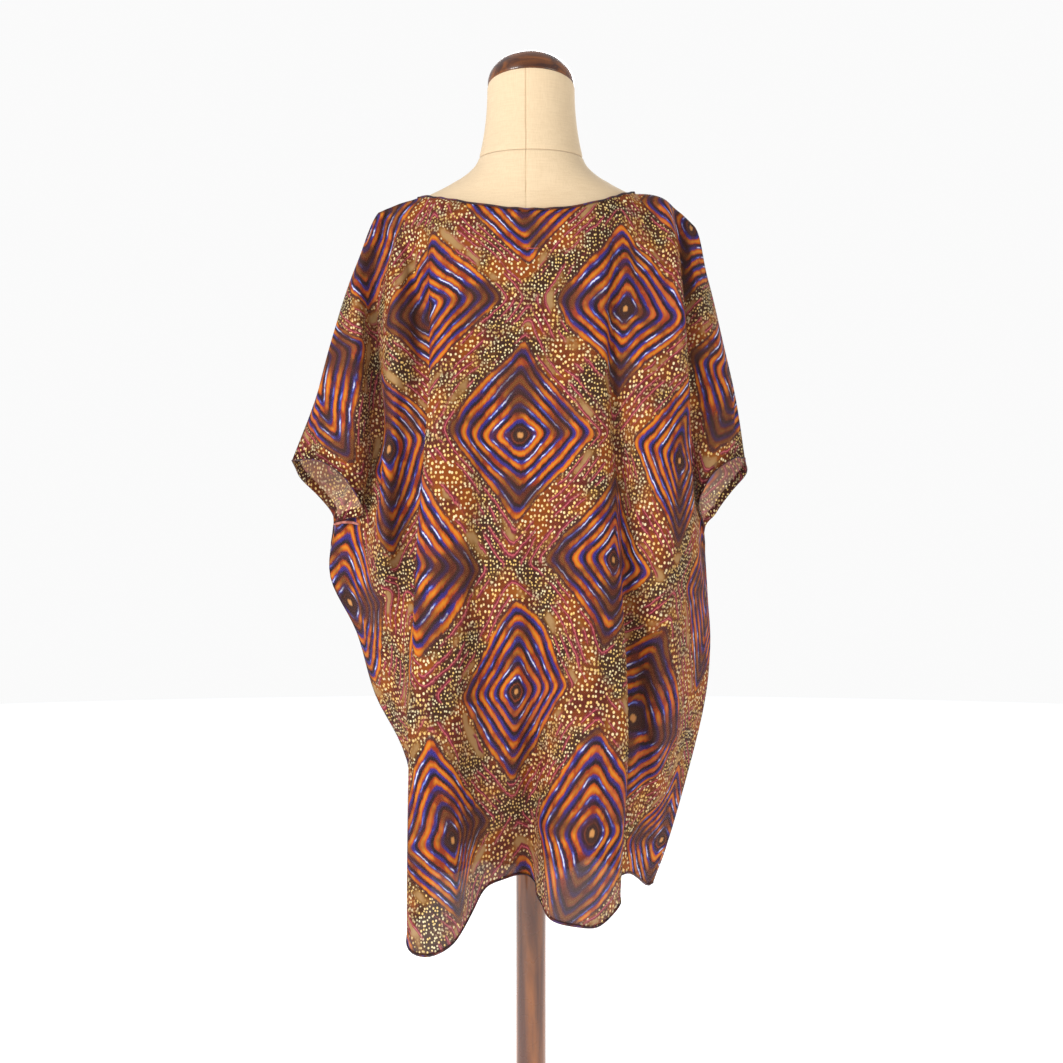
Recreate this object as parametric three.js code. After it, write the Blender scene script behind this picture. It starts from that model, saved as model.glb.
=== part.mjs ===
// A kaftan on a dress form, seen with the garment's back towards -Y. Millimetres, +Z up, origin under the middle
// of the stand's foot, on the floor.
//
// The kaftan is cut as two panels, a front and a back, joined along the shoulders and sleeve tops and down the
// sides below the sleeve openings. Worn, it hangs from the two shoulders: folds run down from the neck edge and
// fan out from each shoulder tip. Each row of a panel's table is one such line, a ridge or a valley of the cloth,
// and the panel is a wall through all of them.
import * as THREE from "three";

// Driving sizes of the cloth.
const WALL = 1.2; // cloth thickness
const SEAM_GAP = 0.3; // between pieces that are sewn together
const REST_OUT = 2.6; // how far the cloth's outside stands off the form, sideways
const REST_UP = 2.8; // and upwards
const STEPS_ACROSS = 2; // cells between neighbouring lines
const ROWS_DOWN = 17; // cells from the top of a line to its end
const ROW_BUNCHING = 1.7; // above 1, rows lie closer together over the shoulders
const SHOULDER_ROUNDING = 0.55; // below 1, cloth leaves the shoulder seam level, and falls away after
const CREST_REACH = 12; // the form's shoulder falls away from its crest this far,
const CREST_FALL = 0.27; // at this slope
const CREST_CLIMB = 0.5; // and climbs towards the neck at this one
const BINDING_HEIGHT = 3;
const BINDING_WALL = 1.6;
const BINDING_GAP = 0.7; // to the panels' edges

// Driving sizes of the dress form and its stand.
const FORM_SIDES = 36;
const NECK_SEAM_Z = 1446;
const FORM_BOTTOM_Z = 805;
const NECK_TOP_Z = 1531; // at the middle of the tilted top
const NECK_TOP_RADIUS = 52;
const NECK_TILT = THREE.MathUtils.degToRad(12);
const CAP_HEIGHT = 40;
const POST_RADIUS = 18;
const FOOT_RADIUS = 190;
const FOOT_THICK = 28;

// The form's sections, from the bottom edge to the neck seam: half width, half depth, how far forward (+Y) the
// section's middle lies, and its pinch, which is 0.5 for an ellipse and more where the depth falls off sooner.
const FORM_SECTIONS = [
  { name: "bottom edge", z: 805, wide: 152, deep: 106, forward: -2, pinch: 0.5 },
  { name: "hip", z: 880, wide: 160, deep: 113, forward: -3, pinch: 0.5 },
  { name: "high hip", z: 950, wide: 144, deep: 104, forward: -1, pinch: 0.5 },
  { name: "waist", z: 1030, wide: 122, deep: 92, forward: 2, pinch: 0.5 },
  { name: "under bust", z: 1120, wide: 134, deep: 102, forward: 5, pinch: 0.5 },
  { name: "bust", z: 1200, wide: 150, deep: 116, forward: 9, pinch: 0.5 },
  { name: "chest", z: 1280, wide: 167, deep: 106, forward: 2, pinch: 0.52 },
  { name: "shoulder joint", z: 1345, wide: 178, deep: 84, forward: -6, pinch: 0.6 },
  { name: "shoulder tip", z: 1370, wide: 176, deep: 74, forward: -9, pinch: 0.72 },
  { name: "outer shoulder", z: 1384, wide: 162, deep: 68, forward: -11, pinch: 0.8 },
  { name: "middle shoulder", z: 1398.5, wide: 131, deep: 63, forward: -12, pinch: 0.8 },
  { name: "inner shoulder", z: 1417.5, wide: 93, deep: 61, forward: -14, pinch: 0.7 },
  { name: "neck root", z: 1432, wide: 71, deep: 60, forward: -15, pinch: 0.56 },
  { name: "neck seam", z: 1446, wide: 62, deep: 59, forward: -15, pinch: 0.5 },
];

// A value that runs smoothly through the four neighbours a, b, c, d, between b and c.
function smooth(a, b, c, d, t) {
  return (
    b +
    0.5 * t * (c - a + t * (2 * a - 5 * b + 4 * c - d + t * (3 * (b - c) + d - a)))
  );
}

// The form's section at a height.
function formAt(z) {
  const last = FORM_SECTIONS.length - 1;
  const clamped = THREE.MathUtils.clamp(z, FORM_SECTIONS[0].z, FORM_SECTIONS[last].z);
  const next = Math.max(1, FORM_SECTIONS.findIndex((s) => s.z >= clamped));
  const [a, b, c, d] = [next - 2, next - 1, next, next + 1].map(
    (i) => FORM_SECTIONS[THREE.MathUtils.clamp(i, 0, last)],
  );
  const t = (clamped - b.z) / (c.z - b.z);
  const at = (key) => smooth(a[key], b[key], c[key], d[key], t);
  return { wide: at("wide"), deep: at("deep"), forward: at("forward"), pinch: at("pinch") };
}

// The height of the form's top above a point of its shoulder line.
function shoulderHeight(x) {
  let low = FORM_SECTIONS.find((s) => s.name === "shoulder joint").z;
  let high = NECK_SEAM_Z;
  for (let i = 0; i < 30; i++) {
    const middle = (low + high) / 2;
    if (formAt(middle).wide > Math.abs(x)) low = middle;
    else high = middle;
  }
  return low;
}

// The kaftan's joins. Each side has the same points on the front and the back panel, so that the panels meet.
// crown is how far the shoulder seam rises above the straight line from neck edge to tip. Below 1, rounding makes the
// lines leave the tip outwards, and fall after. A line starts on the seam at x, and ends at the sleeve's edge, down
// the side seam or at the hem corner.
const LEFT = {
  crown: 1,
  rounding: 0.75,
  tip: [-182, -6, 1384],
  cuff: [-287, 0, 1087],
  underarm: [-237, 4, 1010],
  seam1: [-243, 20, 947],
  seam2: [-212, 28, 880],
  seam3: [-189, 22, 805],
  seam4: [-150, 12, 726],
  corner: [-129, 0, 600],
};
const RIGHT = {
  crown: 11,
  rounding: 0.45,
  tip: [190, -4, 1371],
  cuff: [257, 2, 1090],
  underarm: [208, 5, 1001],
  seam1: [214, 20, 925],
  seam2: [218, 30, 861],
  seam3: [208, 25, 781],
  seam4: [173, 20, 650],
  corner: [148, 25, 575],
};
const NECK_LEFT_X = -136; // ends of the neck opening, on the shoulder seam
const NECK_RIGHT_X = 124;
const NECK_DROP = { back: 29.5, front: 88 }; // how far the neck edge dips at its lowest point
const NECK_SKEW = 1.2; // above 1, that point lies to the right of the middle
const SIDE_LINES = 10; // lines from the sleeve top to the neck edge's end, on each side of each panel

// Lines of the back panel, from the wearer's left sleeve to the right one. top is where the line starts, as x along
// the shoulder and neck edge; then come x and y a quarter, half and three quarters of the way down, and the end.
const BACK_LINES = [
  { name: "left sleeve top", top: -182, quarter: [-213, -4], half: [-238, 0], low: [-259, 2], end: LEFT.cuff },
  { name: "left sleeve hollow", top: -177, quarter: [-210, -26], half: [-231, -34], low: [-247, -38], end: [-254, -28, 1086] },
  { name: "left sleeve ridge", top: -172, quarter: [-202, -50], half: [-203, -60], low: [-202, -63], end: [-220, -52, 1066] },
  { name: "left deep hollow", top: -167, quarter: [-187, -34], half: [-186, -30], low: [-188, -31], end: [-199, -36, 1024] },
  { name: "left underarm", top: -162, quarter: [-175, -48], half: [-178, -42], low: [-179, -27], end: LEFT.underarm },
  { name: "left side back", top: -157, quarter: [-165, -73], half: [-170, -77], low: [-171, -57], end: LEFT.seam1 },
  { name: "left side ridge", top: -152, quarter: [-160, -86], half: [-164, -90], low: [-182, -68], end: LEFT.seam2 },
  { name: "left side face", top: -147, quarter: [-152, -94], half: [-158, -92], low: [-172, -76], end: LEFT.seam3 },
  { name: "left side hollow", top: -142, quarter: [-142, -92], half: [-145, -78], low: [-152, -56], end: LEFT.seam4 },
  { name: "left lobe hollow", top: NECK_LEFT_X, quarter: [-128, -87], half: [-128, -77], low: [-132, -67], end: LEFT.corner },
  { name: "left lobe back", top: -131, quarter: [-109, -99], half: [-109, -96], low: [-109, -86], end: [-117, -82, 580] },
  { name: "left lobe edge", top: -118, quarter: [-115, -132], half: [-129, -145], low: [-136, -160], end: [-139, -161, 545] },
  { name: "left lobe", top: -97, quarter: [-92, -142], half: [-104, -163], low: [-112, -182], end: [-116, -188, 535] },
  { name: "left lobe inner side", top: -73, quarter: [-66, -138], half: [-78, -160], low: [-85, -174], end: [-85, -180, 547] },
  { name: "left centre hollow", top: -49, quarter: [-45, -132], half: [-57, -142], low: [-64, -135], end: [-67, -134, 573] },
  { name: "arch, left", top: -27, quarter: [-26, -133], half: [-35, -148], low: [-43, -148], end: [-50, -116, 597] },
  { name: "arch, middle", top: -9, quarter: [-9, -134], half: [-13, -149], low: [-17, -144], end: [-24, -100, 606] },
  { name: "centre hollow", top: 7, quarter: [8, -133], half: [6, -143], low: [4, -132], end: [0, -94, 605] },
  { name: "right lobe inner side", top: 23, quarter: [24, -133], half: [22, -146], low: [15, -146], end: [9, -146, 589] },
  { name: "right lobe, left", top: 41, quarter: [42, -135], half: [44, -155], low: [38, -172], end: [21, -178, 574] },
  { name: "right lobe", top: 61, quarter: [60, -137], half: [66, -159], low: [66, -182], end: [49, -188, 568] },
  { name: "right lobe, right", top: 81, quarter: [74, -134], half: [85, -150], low: [92, -174], end: [77, -180, 567] },
  { name: "right lobe edge", top: 94, quarter: [85, -128], half: [98, -132], low: [109, -152], end: [99, -151, 586] },
  { name: "right lobe hollow", top: 108, quarter: [92, -110], half: [105, -108], low: [103, -84], end: [100, -86, 601] },
  { name: "right lobe back", top: 117, quarter: [108, -122], half: [121, -124], low: [122, -80], end: [118, -48, 600] },
  { name: "right side fold", top: NECK_RIGHT_X, quarter: [126, -131], half: [136, -125], low: [146, -90], end: RIGHT.corner },
  { name: "right side face", top: 134, quarter: [146, -121], half: [153, -128], low: [166, -84], end: RIGHT.seam4 },
  { name: "right side back", top: 142, quarter: [160, -109], half: [168, -116], low: [182, -76], end: RIGHT.seam3 },
  { name: "right sleeve back", top: 150, quarter: [169, -112], half: [178, -104], low: [192, -66], end: RIGHT.seam2 },
  { name: "right sleeve fold", top: 158, quarter: [174, -98], half: [182, -96], low: [190, -60], end: RIGHT.seam1 },
  { name: "right underarm", top: 165, quarter: [174, -66], half: [182, -62], low: [188, -40], end: RIGHT.underarm },
  { name: "right deep hollow", top: 172, quarter: [177, -32], half: [184, -42], low: [194, -44], end: [199, -36, 1036] },
  { name: "right sleeve outside", top: 178, quarter: [191, -46], half: [204, -54], low: [214, -52], end: [213, -42, 1068] },
  { name: "right sleeve edge", top: 184, quarter: [202, -28], half: [220, -34], low: [236, -32], end: [239, -24, 1088] },
  { name: "right sleeve top", top: 190, quarter: [213, -4], half: [230, -2], low: [246, 0], end: RIGHT.cuff },
];

// Lines of the front panel, in the same order of x.
const FRONT_LINES = [
  { name: "left sleeve top", top: -182, quarter: [-213, -4], half: [-238, 0], low: [-259, 2], end: LEFT.cuff },
  { name: "left sleeve fold", top: -177, quarter: [-207, 20], half: [-230, 30], low: [-250, 36], end: [-281, 30, 1068] },
  { name: "left sleeve ridge", top: -172, quarter: [-206, 40], half: [-222, 60], low: [-236, 70], end: [-262, 52, 1047] },
  { name: "left sleeve hollow", top: -167, quarter: [-194, 44], half: [-202, 58], low: [-212, 62], end: [-242, 44, 1023] },
  { name: "left underarm", top: -162, quarter: [-186, 48], half: [-190, 52], low: [-198, 54], end: LEFT.underarm },
  { name: "left side back", top: -157, quarter: [-180, 62], half: [-182, 72], low: [-190, 68], end: LEFT.seam1 },
  { name: "left side ridge", top: -152, quarter: [-170, 76], half: [-172, 96], low: [-180, 86], end: LEFT.seam2 },
  { name: "left side face", top: -147, quarter: [-156, 92], half: [-156, 104], low: [-161, 92], end: LEFT.seam3 },
  { name: "left side hollow", top: -142, quarter: [-140, 94], half: [-136, 92], low: [-139, 82], end: LEFT.seam4 },
  { name: "left fold back", top: NECK_LEFT_X, quarter: [-122, 112], half: [-116, 104], low: [-112, 88], end: LEFT.corner },
  { name: "left fold", top: -128, quarter: [-112, 128], half: [-116, 136], low: [-122, 148], end: [-126, 148, 570] },
  { name: "left fold face", top: -108, quarter: [-82, 134], half: [-88, 150], low: [-94, 168], end: [-98, 170, 560] },
  { name: "left hollow by the centre", top: -76, quarter: [-54, 130], half: [-56, 136], low: [-60, 136], end: [-63, 122, 586] },
  { name: "left centre fold", top: -40, quarter: [-27, 132], half: [-29, 144], low: [-32, 156], end: [-36, 155, 570] },
  { name: "centre hollow", top: 0, quarter: [1, 130], half: [2, 140], low: [5, 136], end: [8, 128, 592] },
  { name: "right centre fold", top: 40, quarter: [29, 132], half: [33, 144], low: [39, 160], end: [44, 163, 566] },
  { name: "right hollow by the centre", top: 72, quarter: [56, 128], half: [63, 138], low: [71, 132], end: [76, 116, 592] },
  { name: "right fold face", top: 98, quarter: [84, 132], half: [95, 142], low: [105, 156], end: [109, 153, 568] },
  { name: "right fold", top: 114, quarter: [108, 122], half: [118, 130], low: [128, 128], end: [132, 112, 572] },
  { name: "right fold back", top: NECK_RIGHT_X, quarter: [126, 112], half: [134, 100], low: [143, 86], end: RIGHT.corner },
  { name: "right side face", top: 134, quarter: [144, 100], half: [150, 102], low: [162, 86], end: RIGHT.seam4 },
  { name: "right side ridge", top: 142, quarter: [158, 88], half: [165, 92], low: [180, 78], end: RIGHT.seam3 },
  { name: "right side fold", top: 150, quarter: [169, 72], half: [177, 76], low: [191, 64], end: RIGHT.seam2 },
  { name: "right side hollow", top: 158, quarter: [175, 50], half: [181, 52], low: [194, 46], end: RIGHT.seam1 },
  { name: "right underarm", top: 165, quarter: [180, 46], half: [188, 52], low: [200, 46], end: RIGHT.underarm },
  { name: "right sleeve hollow", top: 172, quarter: [187, 48], half: [199, 60], low: [212, 56], end: [225, 42, 1024] },
  { name: "right sleeve ridge", top: 178, quarter: [196, 40], half: [212, 54], low: [228, 56], end: [246, 48, 1052] },
  { name: "right sleeve fold", top: 184, quarter: [203, 20], half: [222, 28], low: [240, 34], end: [262, 28, 1074] },
  { name: "right sleeve top", top: 190, quarter: [213, -4], half: [230, -2], low: [246, 0], end: RIGHT.cuff },
];

// Moves a point off the form, towards the panel's own side. It ends up out from the form, sideways, or more.
function clearOfForm(point, side, out = REST_OUT) {
  const up = (REST_UP / REST_OUT) * out;
  const section = formAt(point.z - up);
  const share = Math.abs(point.x) / (section.wide + out);
  if (share >= 1 || point.z < FORM_BOTTOM_Z - 2 * up || point.z > NECK_SEAM_Z) return point;
  const reach = (section.deep + out) * Math.pow(1 - share * share, section.pinch);
  const surface = section.forward + side * reach;
  if (side * (point.y - surface) < 0) point.y = surface;
  return point;
}

// Lifts a point beside the crest of the form's shoulder. It ends up up from the form, or more.
function overCrest(point, up) {
  const crest = shoulderHeight(point.x);
  const away = Math.abs(point.y - formAt(crest).forward);
  if (away < CREST_REACH) point.z = Math.max(point.z, crest + up - CREST_FALL * away);
  return point;
}

// The shoulder seam at x. It lies on the form's crest, or above it on the straight line from neck edge to tip.
function shoulderSeam(x) {
  const { tip, crown } = x < 0 ? LEFT : RIGHT;
  const neckX = x < 0 ? NECK_LEFT_X : NECK_RIGHT_X;
  const height = shoulderHeight(x);
  const t = (x - neckX) / (tip[0] - neckX);
  const y = THREE.MathUtils.lerp(formAt(height).forward, tip[1], THREE.MathUtils.smoothstep(t, 0.4, 1));
  const straight = THREE.MathUtils.lerp(shoulderHeight(neckX) + REST_UP, tip[2], t);
  const crowned = straight + crown * Math.sin(Math.PI * THREE.MathUtils.clamp(t, 0, 1));
  return new THREE.Vector3(x, y, Math.max(height + REST_UP, crowned));
}

// The panel's upper edge: the shoulder seams, and between them the neck edge.
function upperEdge(x, side) {
  if (x <= NECK_LEFT_X || x >= NECK_RIGHT_X) return shoulderSeam(x);
  const t = (x - NECK_LEFT_X) / (NECK_RIGHT_X - NECK_LEFT_X);
  const dip = 1 - Math.pow(Math.abs(2 * Math.pow(t, NECK_SKEW) - 1), side < 0 ? 2 : 2.6);
  const point = shoulderSeam(NECK_LEFT_X).lerp(shoulderSeam(NECK_RIGHT_X), t);
  point.z -= dip * (side < 0 ? NECK_DROP.back : NECK_DROP.front);
  return clearOfForm(point, side);
}

// The knots of a line, from its upper end down.
function knotsOf(line, side) {
  const top = upperEdge(line.top, side);
  const end = new THREE.Vector3(...line.end);
  const between = [line.quarter, line.half, line.low].map(
    ([x, y], i) => new THREE.Vector3(x, y, THREE.MathUtils.lerp(top.z, end.z, (i + 1) / 4)),
  );
  return [top, ...between, end];
}

// A point on a smooth curve through knots, at a share of its length in knots. Past its ends it runs straight on.
function along(knots, share) {
  const last = knots.length - 1;
  const at = THREE.MathUtils.clamp(share * last, 0, last);
  const i = Math.min(Math.floor(at), last - 1);
  const before = i > 0 ? knots[i - 1] : knots[0].clone().multiplyScalar(2).sub(knots[1]);
  const after = i + 2 <= last ? knots[i + 2] : knots[last].clone().multiplyScalar(2).sub(knots[last - 1]);
  const value = (key) => smooth(before[key], knots[i][key], knots[i + 1][key], after[key], at - i);
  return new THREE.Vector3(value("x"), value("y"), value("z"));
}

// A point of a line. Near the top the line leaves the shoulder level and rounds over, as it would over a tube.
function roundedOver(knots, share) {
  const point = along(knots, share);
  const t = Math.min(1, share * (knots.length - 1));
  const { rounding } = knots[0].x < 0 ? LEFT : RIGHT;
  const rounded = (key, power) => THREE.MathUtils.lerp(knots[0][key], knots[1][key], Math.pow(t, power));
  point.x = THREE.MathUtils.lerp(rounded("x", rounding), point.x, t * t);
  point.y = THREE.MathUtils.lerp(rounded("y", SHOULDER_ROUNDING), point.y, 1 - (1 - t) * (1 - t));
  return point;
}

// The panel's outside as a grid of points, grid[row][column], row 0 at the shoulder and neck edge.
function panelGrid(lines, side) {
  const knots = lines.map((line) => knotsOf(line, side));
  const columns = (lines.length - 1) * STEPS_ACROSS;
  const grid = [];
  for (let row = 0; row <= ROWS_DOWN; row++) {
    const down = Math.pow(row / ROWS_DOWN, ROW_BUNCHING);
    const across = knots.map((line) => roundedOver(line, down));
    const points = [];
    for (let column = 0; column <= columns; column++) {
      points.push(along(across, column / columns));
    }
    grid.push(points);
  }
  joinEdges(grid, lines, side);
  grid.forEach((points, row) =>
    points.forEach((point, column) => {
      const sewn = isSewn(row, column, columns);
      if (!sewn) clearOfForm(point, side);
    }),
  );
  return grid;
}

// The columns of the underarm and of the hem corner, on the left; the right has them at the same distance from its end.
const UNDERARM_COLUMN = 4 * STEPS_ACROSS;
const CORNER_COLUMN = (SIDE_LINES - 1) * STEPS_ACROSS;

// Whether a point of a panel's edge is sewn to the other panel.
function isSewn(row, column, columns) {
  const fromSide = Math.min(column, columns - column);
  const shoulder = row === 0 && fromSide <= CORNER_COLUMN;
  const sleeveTop = fromSide === 0;
  const sideSeam = row === ROWS_DOWN && fromSide >= UNDERARM_COLUMN && fromSide <= CORNER_COLUMN;
  return shoulder || sleeveTop || sideSeam;
}

// Puts the sewn edges on curves of their own, so that both panels have the same points there.
function joinEdges(grid, lines, side) {
  const columns = grid[0].length - 1;
  for (let column = 0; column <= columns; column++) {
    const line = Math.min(Math.floor(column / STEPS_ACROSS), lines.length - 2);
    const t = column / STEPS_ACROSS - line;
    const x = THREE.MathUtils.lerp(lines[line].top, lines[line + 1].top, t);
    grid[0][column].copy(upperEdge(x, side));
  }
  for (const joins of [LEFT, RIGHT]) {
    const seam = [joins.underarm, joins.seam1, joins.seam2, joins.seam3, joins.seam4, joins.corner];
    const knots = seam.map((point) => new THREE.Vector3(...point));
    const steps = CORNER_COLUMN - UNDERARM_COLUMN;
    for (let step = 0; step <= steps; step++) {
      const fromSide = UNDERARM_COLUMN + step;
      const column = joins === LEFT ? fromSide : columns - fromSide;
      grid[ROWS_DOWN][column].copy(along(knots, step / steps));
    }
  }
}

// Unit normals of a grid, pointing out of the garment: at each point, the mean of the cells that meet there.
function normalsOf(grid, side) {
  const normals = grid.map((points) => points.map(() => new THREE.Vector3()));
  for (let row = 0; row + 1 < grid.length; row++) {
    for (let column = 0; column + 1 < grid[0].length; column++) {
      const corners = [[row, column], [row + 1, column], [row + 1, column + 1], [row, column + 1]];
      const [a, b, c, d] = corners.map(([i, j]) => grid[i][j]);
      const normal = c.clone().sub(a).cross(d.clone().sub(b)).multiplyScalar(-side).normalize();
      corners.forEach(([i, j]) => normals[i][j].add(normal));
    }
  }
  return normals.map((points) => points.map((normal) => normal.normalize()));
}

// A closed wall from its outside and inside grids. flip turns the faces round.
function wallFrom(outside, inside, flip) {
  const rows = outside.length;
  const columns = outside[0].length;
  const positions = [...outside.flat(), ...inside.flat()].flatMap((p) => p.toArray());
  const index = [];
  const shift = rows * columns;
  const at = (row, column) => row * columns + column;
  const quad = (a, b, c, d) => {
    const faces = flip ? [a, c, b, a, d, c] : [a, b, c, a, c, d];
    index.push(...faces);
  };
  for (let row = 0; row + 1 < rows; row++) {
    for (let column = 0; column + 1 < columns; column++) {
      const [a, b, c, d] = [at(row, column), at(row + 1, column), at(row + 1, column + 1), at(row, column + 1)];
      quad(a, b, c, d);
      quad(a + shift, d + shift, c + shift, b + shift);
    }
  }
  const edge = [];
  for (let column = 0; column + 1 < columns; column++) edge.push(at(0, column));
  for (let row = 0; row + 1 < rows; row++) edge.push(at(row, columns - 1));
  for (let column = columns - 1; column > 0; column--) edge.push(at(rows - 1, column));
  for (let row = rows - 1; row > 0; row--) edge.push(at(row, 0));
  edge.forEach((a, i) => {
    const b = edge[(i + 1) % edge.length];
    quad(a, b, b + shift, a + shift);
  });
  return geometryFrom(positions, index);
}

function geometryFrom(positions, index) {
  const geometry = new THREE.BufferGeometry();
  geometry.setAttribute("position", new THREE.Float32BufferAttribute(positions, 3));
  geometry.setIndex(index);
  geometry.computeVertexNormals();
  return geometry;
}

// Both panels as walls. Where they are sewn, each ends on its own side of the seam, back towards -Y.
function panelWalls() {
  return [
    { side: -1, lines: BACK_LINES },
    { side: 1, lines: FRONT_LINES },
  ].map(({ side, lines }) => {
    const grid = panelGrid(lines, side);
    const normals = normalsOf(grid, side);
    const columns = grid[0].length - 1;
    const inside = grid.map((points, row) =>
      points.map((point, column) => {
        const normal = normals[row][column];
        const inner = point.clone().addScaledVector(normal, -WALL);
        if (isSewn(row, column, columns)) {
          const shift = side * (SEAM_GAP / 2 + Math.max(0, WALL * side * normal.y));
          point.y += shift;
          inner.y += shift;
        }
        return inner;
      }),
    );
    return { side, grid, inside };
  });
}

// The binding round the neck: a narrow strip that carries both panels on beyond their neck edges.
function neckBinding([back, front]) {
  const edgeOf = ({ grid, inside, side }, column) => ({ outer: grid[0][column], inner: inside[0][column], side });
  const mean = (a, b) => ({
    outer: a.outer.clone().lerp(b.outer, 0.5),
    inner: a.inner.clone().lerp(b.inner, 0.5),
    side: a.side,
    corner: true,
  });
  const lastOf = (panel) => panel.grid[0].length - 1 - CORNER_COLUMN;
  const ring = [mean(edgeOf(back, CORNER_COLUMN), edgeOf(front, CORNER_COLUMN))];
  for (let column = CORNER_COLUMN + 1; column < lastOf(back); column++) ring.push(edgeOf(back, column));
  ring.push(mean(edgeOf(back, lastOf(back)), edgeOf(front, lastOf(front))));
  for (let column = lastOf(front) - 1; column > CORNER_COLUMN; column--) ring.push(edgeOf(front, column));
  const sections = ring.map(({ outer, inner, side, corner }, i) => {
    const before = ring[(i + ring.length - 1) % ring.length].outer;
    const after = ring[(i + 1) % ring.length].outer;
    const normal = outer.clone().sub(inner).normalize();
    const up = normal.clone().cross(after.clone().sub(before)).normalize();
    if (corner) {
      up.set(-Math.sign(outer.x), 0, CREST_CLIMB).normalize();
      normal.set(Math.sign(outer.x) * up.z, 0, Math.abs(up.x));
    }
    const place = (height, depth) => {
      const point = inner.clone().addScaledVector(up, height).addScaledVector(normal, depth);
      if (!corner) clearOfForm(point, side, REST_OUT - WALL + depth);
      return overCrest(point, REST_UP - WALL + depth);
    };
    const [low, high] = [BINDING_GAP, BINDING_GAP + BINDING_HEIGHT];
    return [place(low, 0), place(low, BINDING_WALL), place(high, BINDING_WALL), place(high, 0)];
  });
  const positions = sections.flat().flatMap((p) => p.toArray());
  const index = [];
  sections.forEach((_, i) => {
    const next = (i + 1) % sections.length;
    for (let corner = 0; corner < 4; corner++) {
      const a = i * 4 + corner;
      const b = i * 4 + ((corner + 1) % 4);
      const c = next * 4 + ((corner + 1) % 4);
      const d = next * 4 + corner;
      index.push(a, c, b, a, d, c);
    }
  });
  return geometryFrom(positions, index);
}

// The form's body: a closed skin through its sections.
function formBody() {
  const heights = [];
  FORM_SECTIONS.slice(0, -1).forEach((section, i) => {
    const above = FORM_SECTIONS[i + 1];
    const steps = Math.max(1, Math.round((above.z - section.z) / 30));
    for (let step = 0; step < steps; step++) heights.push(section.z + ((above.z - section.z) * step) / steps);
  });
  heights.push(NECK_SEAM_Z);
  const positions = [];
  const index = [];
  for (const z of heights) {
    const { wide, deep, forward, pinch } = formAt(z);
    for (let i = 0; i < FORM_SIDES; i++) {
      const angle = (2 * Math.PI * i) / FORM_SIDES;
      const reach = deep * Math.sign(Math.sin(angle)) * Math.pow(Math.abs(Math.sin(angle)), 2 * pinch);
      positions.push(wide * Math.cos(angle), forward + reach, z);
    }
  }
  for (let ring = 0; ring + 1 < heights.length; ring++) {
    for (let i = 0; i < FORM_SIDES; i++) {
      const next = (i + 1) % FORM_SIDES;
      const [a, b] = [ring * FORM_SIDES + i, ring * FORM_SIDES + next];
      index.push(a, b, b + FORM_SIDES, a, b + FORM_SIDES, a + FORM_SIDES);
    }
  }
  const top = (heights.length - 1) * FORM_SIDES;
  for (let i = 1; i + 1 < FORM_SIDES; i++) {
    index.push(0, i + 1, i);
    index.push(top, top + i, top + i + 1);
  }
  return geometryFrom(positions, index);
}

// The form's neck: a tapering column whose top is tilted forward.
function formNeck() {
  const base = formAt(NECK_SEAM_Z);
  const rings = 5;
  const positions = [];
  const index = [];
  for (let ring = 0; ring <= rings; ring++) {
    const t = ring / rings;
    const taper = 1 - Math.pow(1 - t, 2.2);
    const wide = THREE.MathUtils.lerp(base.wide, NECK_TOP_RADIUS, taper);
    const deep = THREE.MathUtils.lerp(base.deep, NECK_TOP_RADIUS, taper);
    for (let i = 0; i < FORM_SIDES; i++) {
      const angle = (2 * Math.PI * i) / FORM_SIDES;
      const y = deep * Math.sin(angle);
      const z = THREE.MathUtils.lerp(NECK_SEAM_Z + SEAM_GAP, NECK_TOP_Z - y * Math.tan(NECK_TILT), t);
      positions.push(wide * Math.cos(angle), base.forward + y, z);
    }
  }
  for (let ring = 0; ring < rings; ring++) {
    for (let i = 0; i < FORM_SIDES; i++) {
      const next = (i + 1) % FORM_SIDES;
      const [a, b] = [ring * FORM_SIDES + i, ring * FORM_SIDES + next];
      index.push(a, b, b + FORM_SIDES, a, b + FORM_SIDES, a + FORM_SIDES);
    }
  }
  const top = rings * FORM_SIDES;
  for (let i = 1; i + 1 < FORM_SIDES; i++) {
    index.push(0, i + 1, i);
    index.push(top, top + i, top + i + 1);
  }
  return geometryFrom(positions, index);
}

// A turned piece from the radius at each height, upwards. It starts and ends on the axis.
function turned(profile, sides = FORM_SIDES) {
  const points = [[0, profile[0][1]], ...profile, [0, profile.at(-1)[1]]];
  const outline = points.map(([radius, height]) => new THREE.Vector2(radius, height));
  return new THREE.LatheGeometry(outline, sides).rotateX(Math.PI / 2);
}

// A bead of a turned post: radii round a half circle between two heights.
function bead(radius, low, high) {
  const steps = 5;
  return Array.from({ length: steps + 1 }, (_, i) => {
    const angle = (Math.PI * i) / steps;
    const z = (low + high) / 2 - ((high - low) / 2) * Math.cos(angle);
    return [POST_RADIUS + (radius - POST_RADIUS) * Math.sin(angle), z];
  });
}

function neckCap() {
  const rim = NECK_TOP_RADIUS - 0.5;
  const lip = 4;
  const arcSteps = 7;
  const profile = [
    [rim - 2, 0],
    [rim, 1.5],
    [rim, lip],
  ];
  for (let i = 1; i < arcSteps; i++) {
    const angle = ((Math.PI / 2) * i) / arcSteps;
    profile.push([rim * Math.cos(angle), lip + (CAP_HEIGHT - lip) * Math.sin(angle)]);
  }
  profile.push([0.5, CAP_HEIGHT]);
  return turned(profile);
}

function post() {
  const top = FORM_BOTTOM_Z - SEAM_GAP;
  const foot = FOOT_THICK + SEAM_GAP;
  return turned(
    [
      [26, foot],
      [26, foot + 10],
      [POST_RADIUS, foot + 24],
      ...bead(24, 640, 668),
      ...bead(24, 674, 702),
      [POST_RADIUS, 740],
      [30, top - 14],
      [30, top],
    ],
    24,
  );
}

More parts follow.
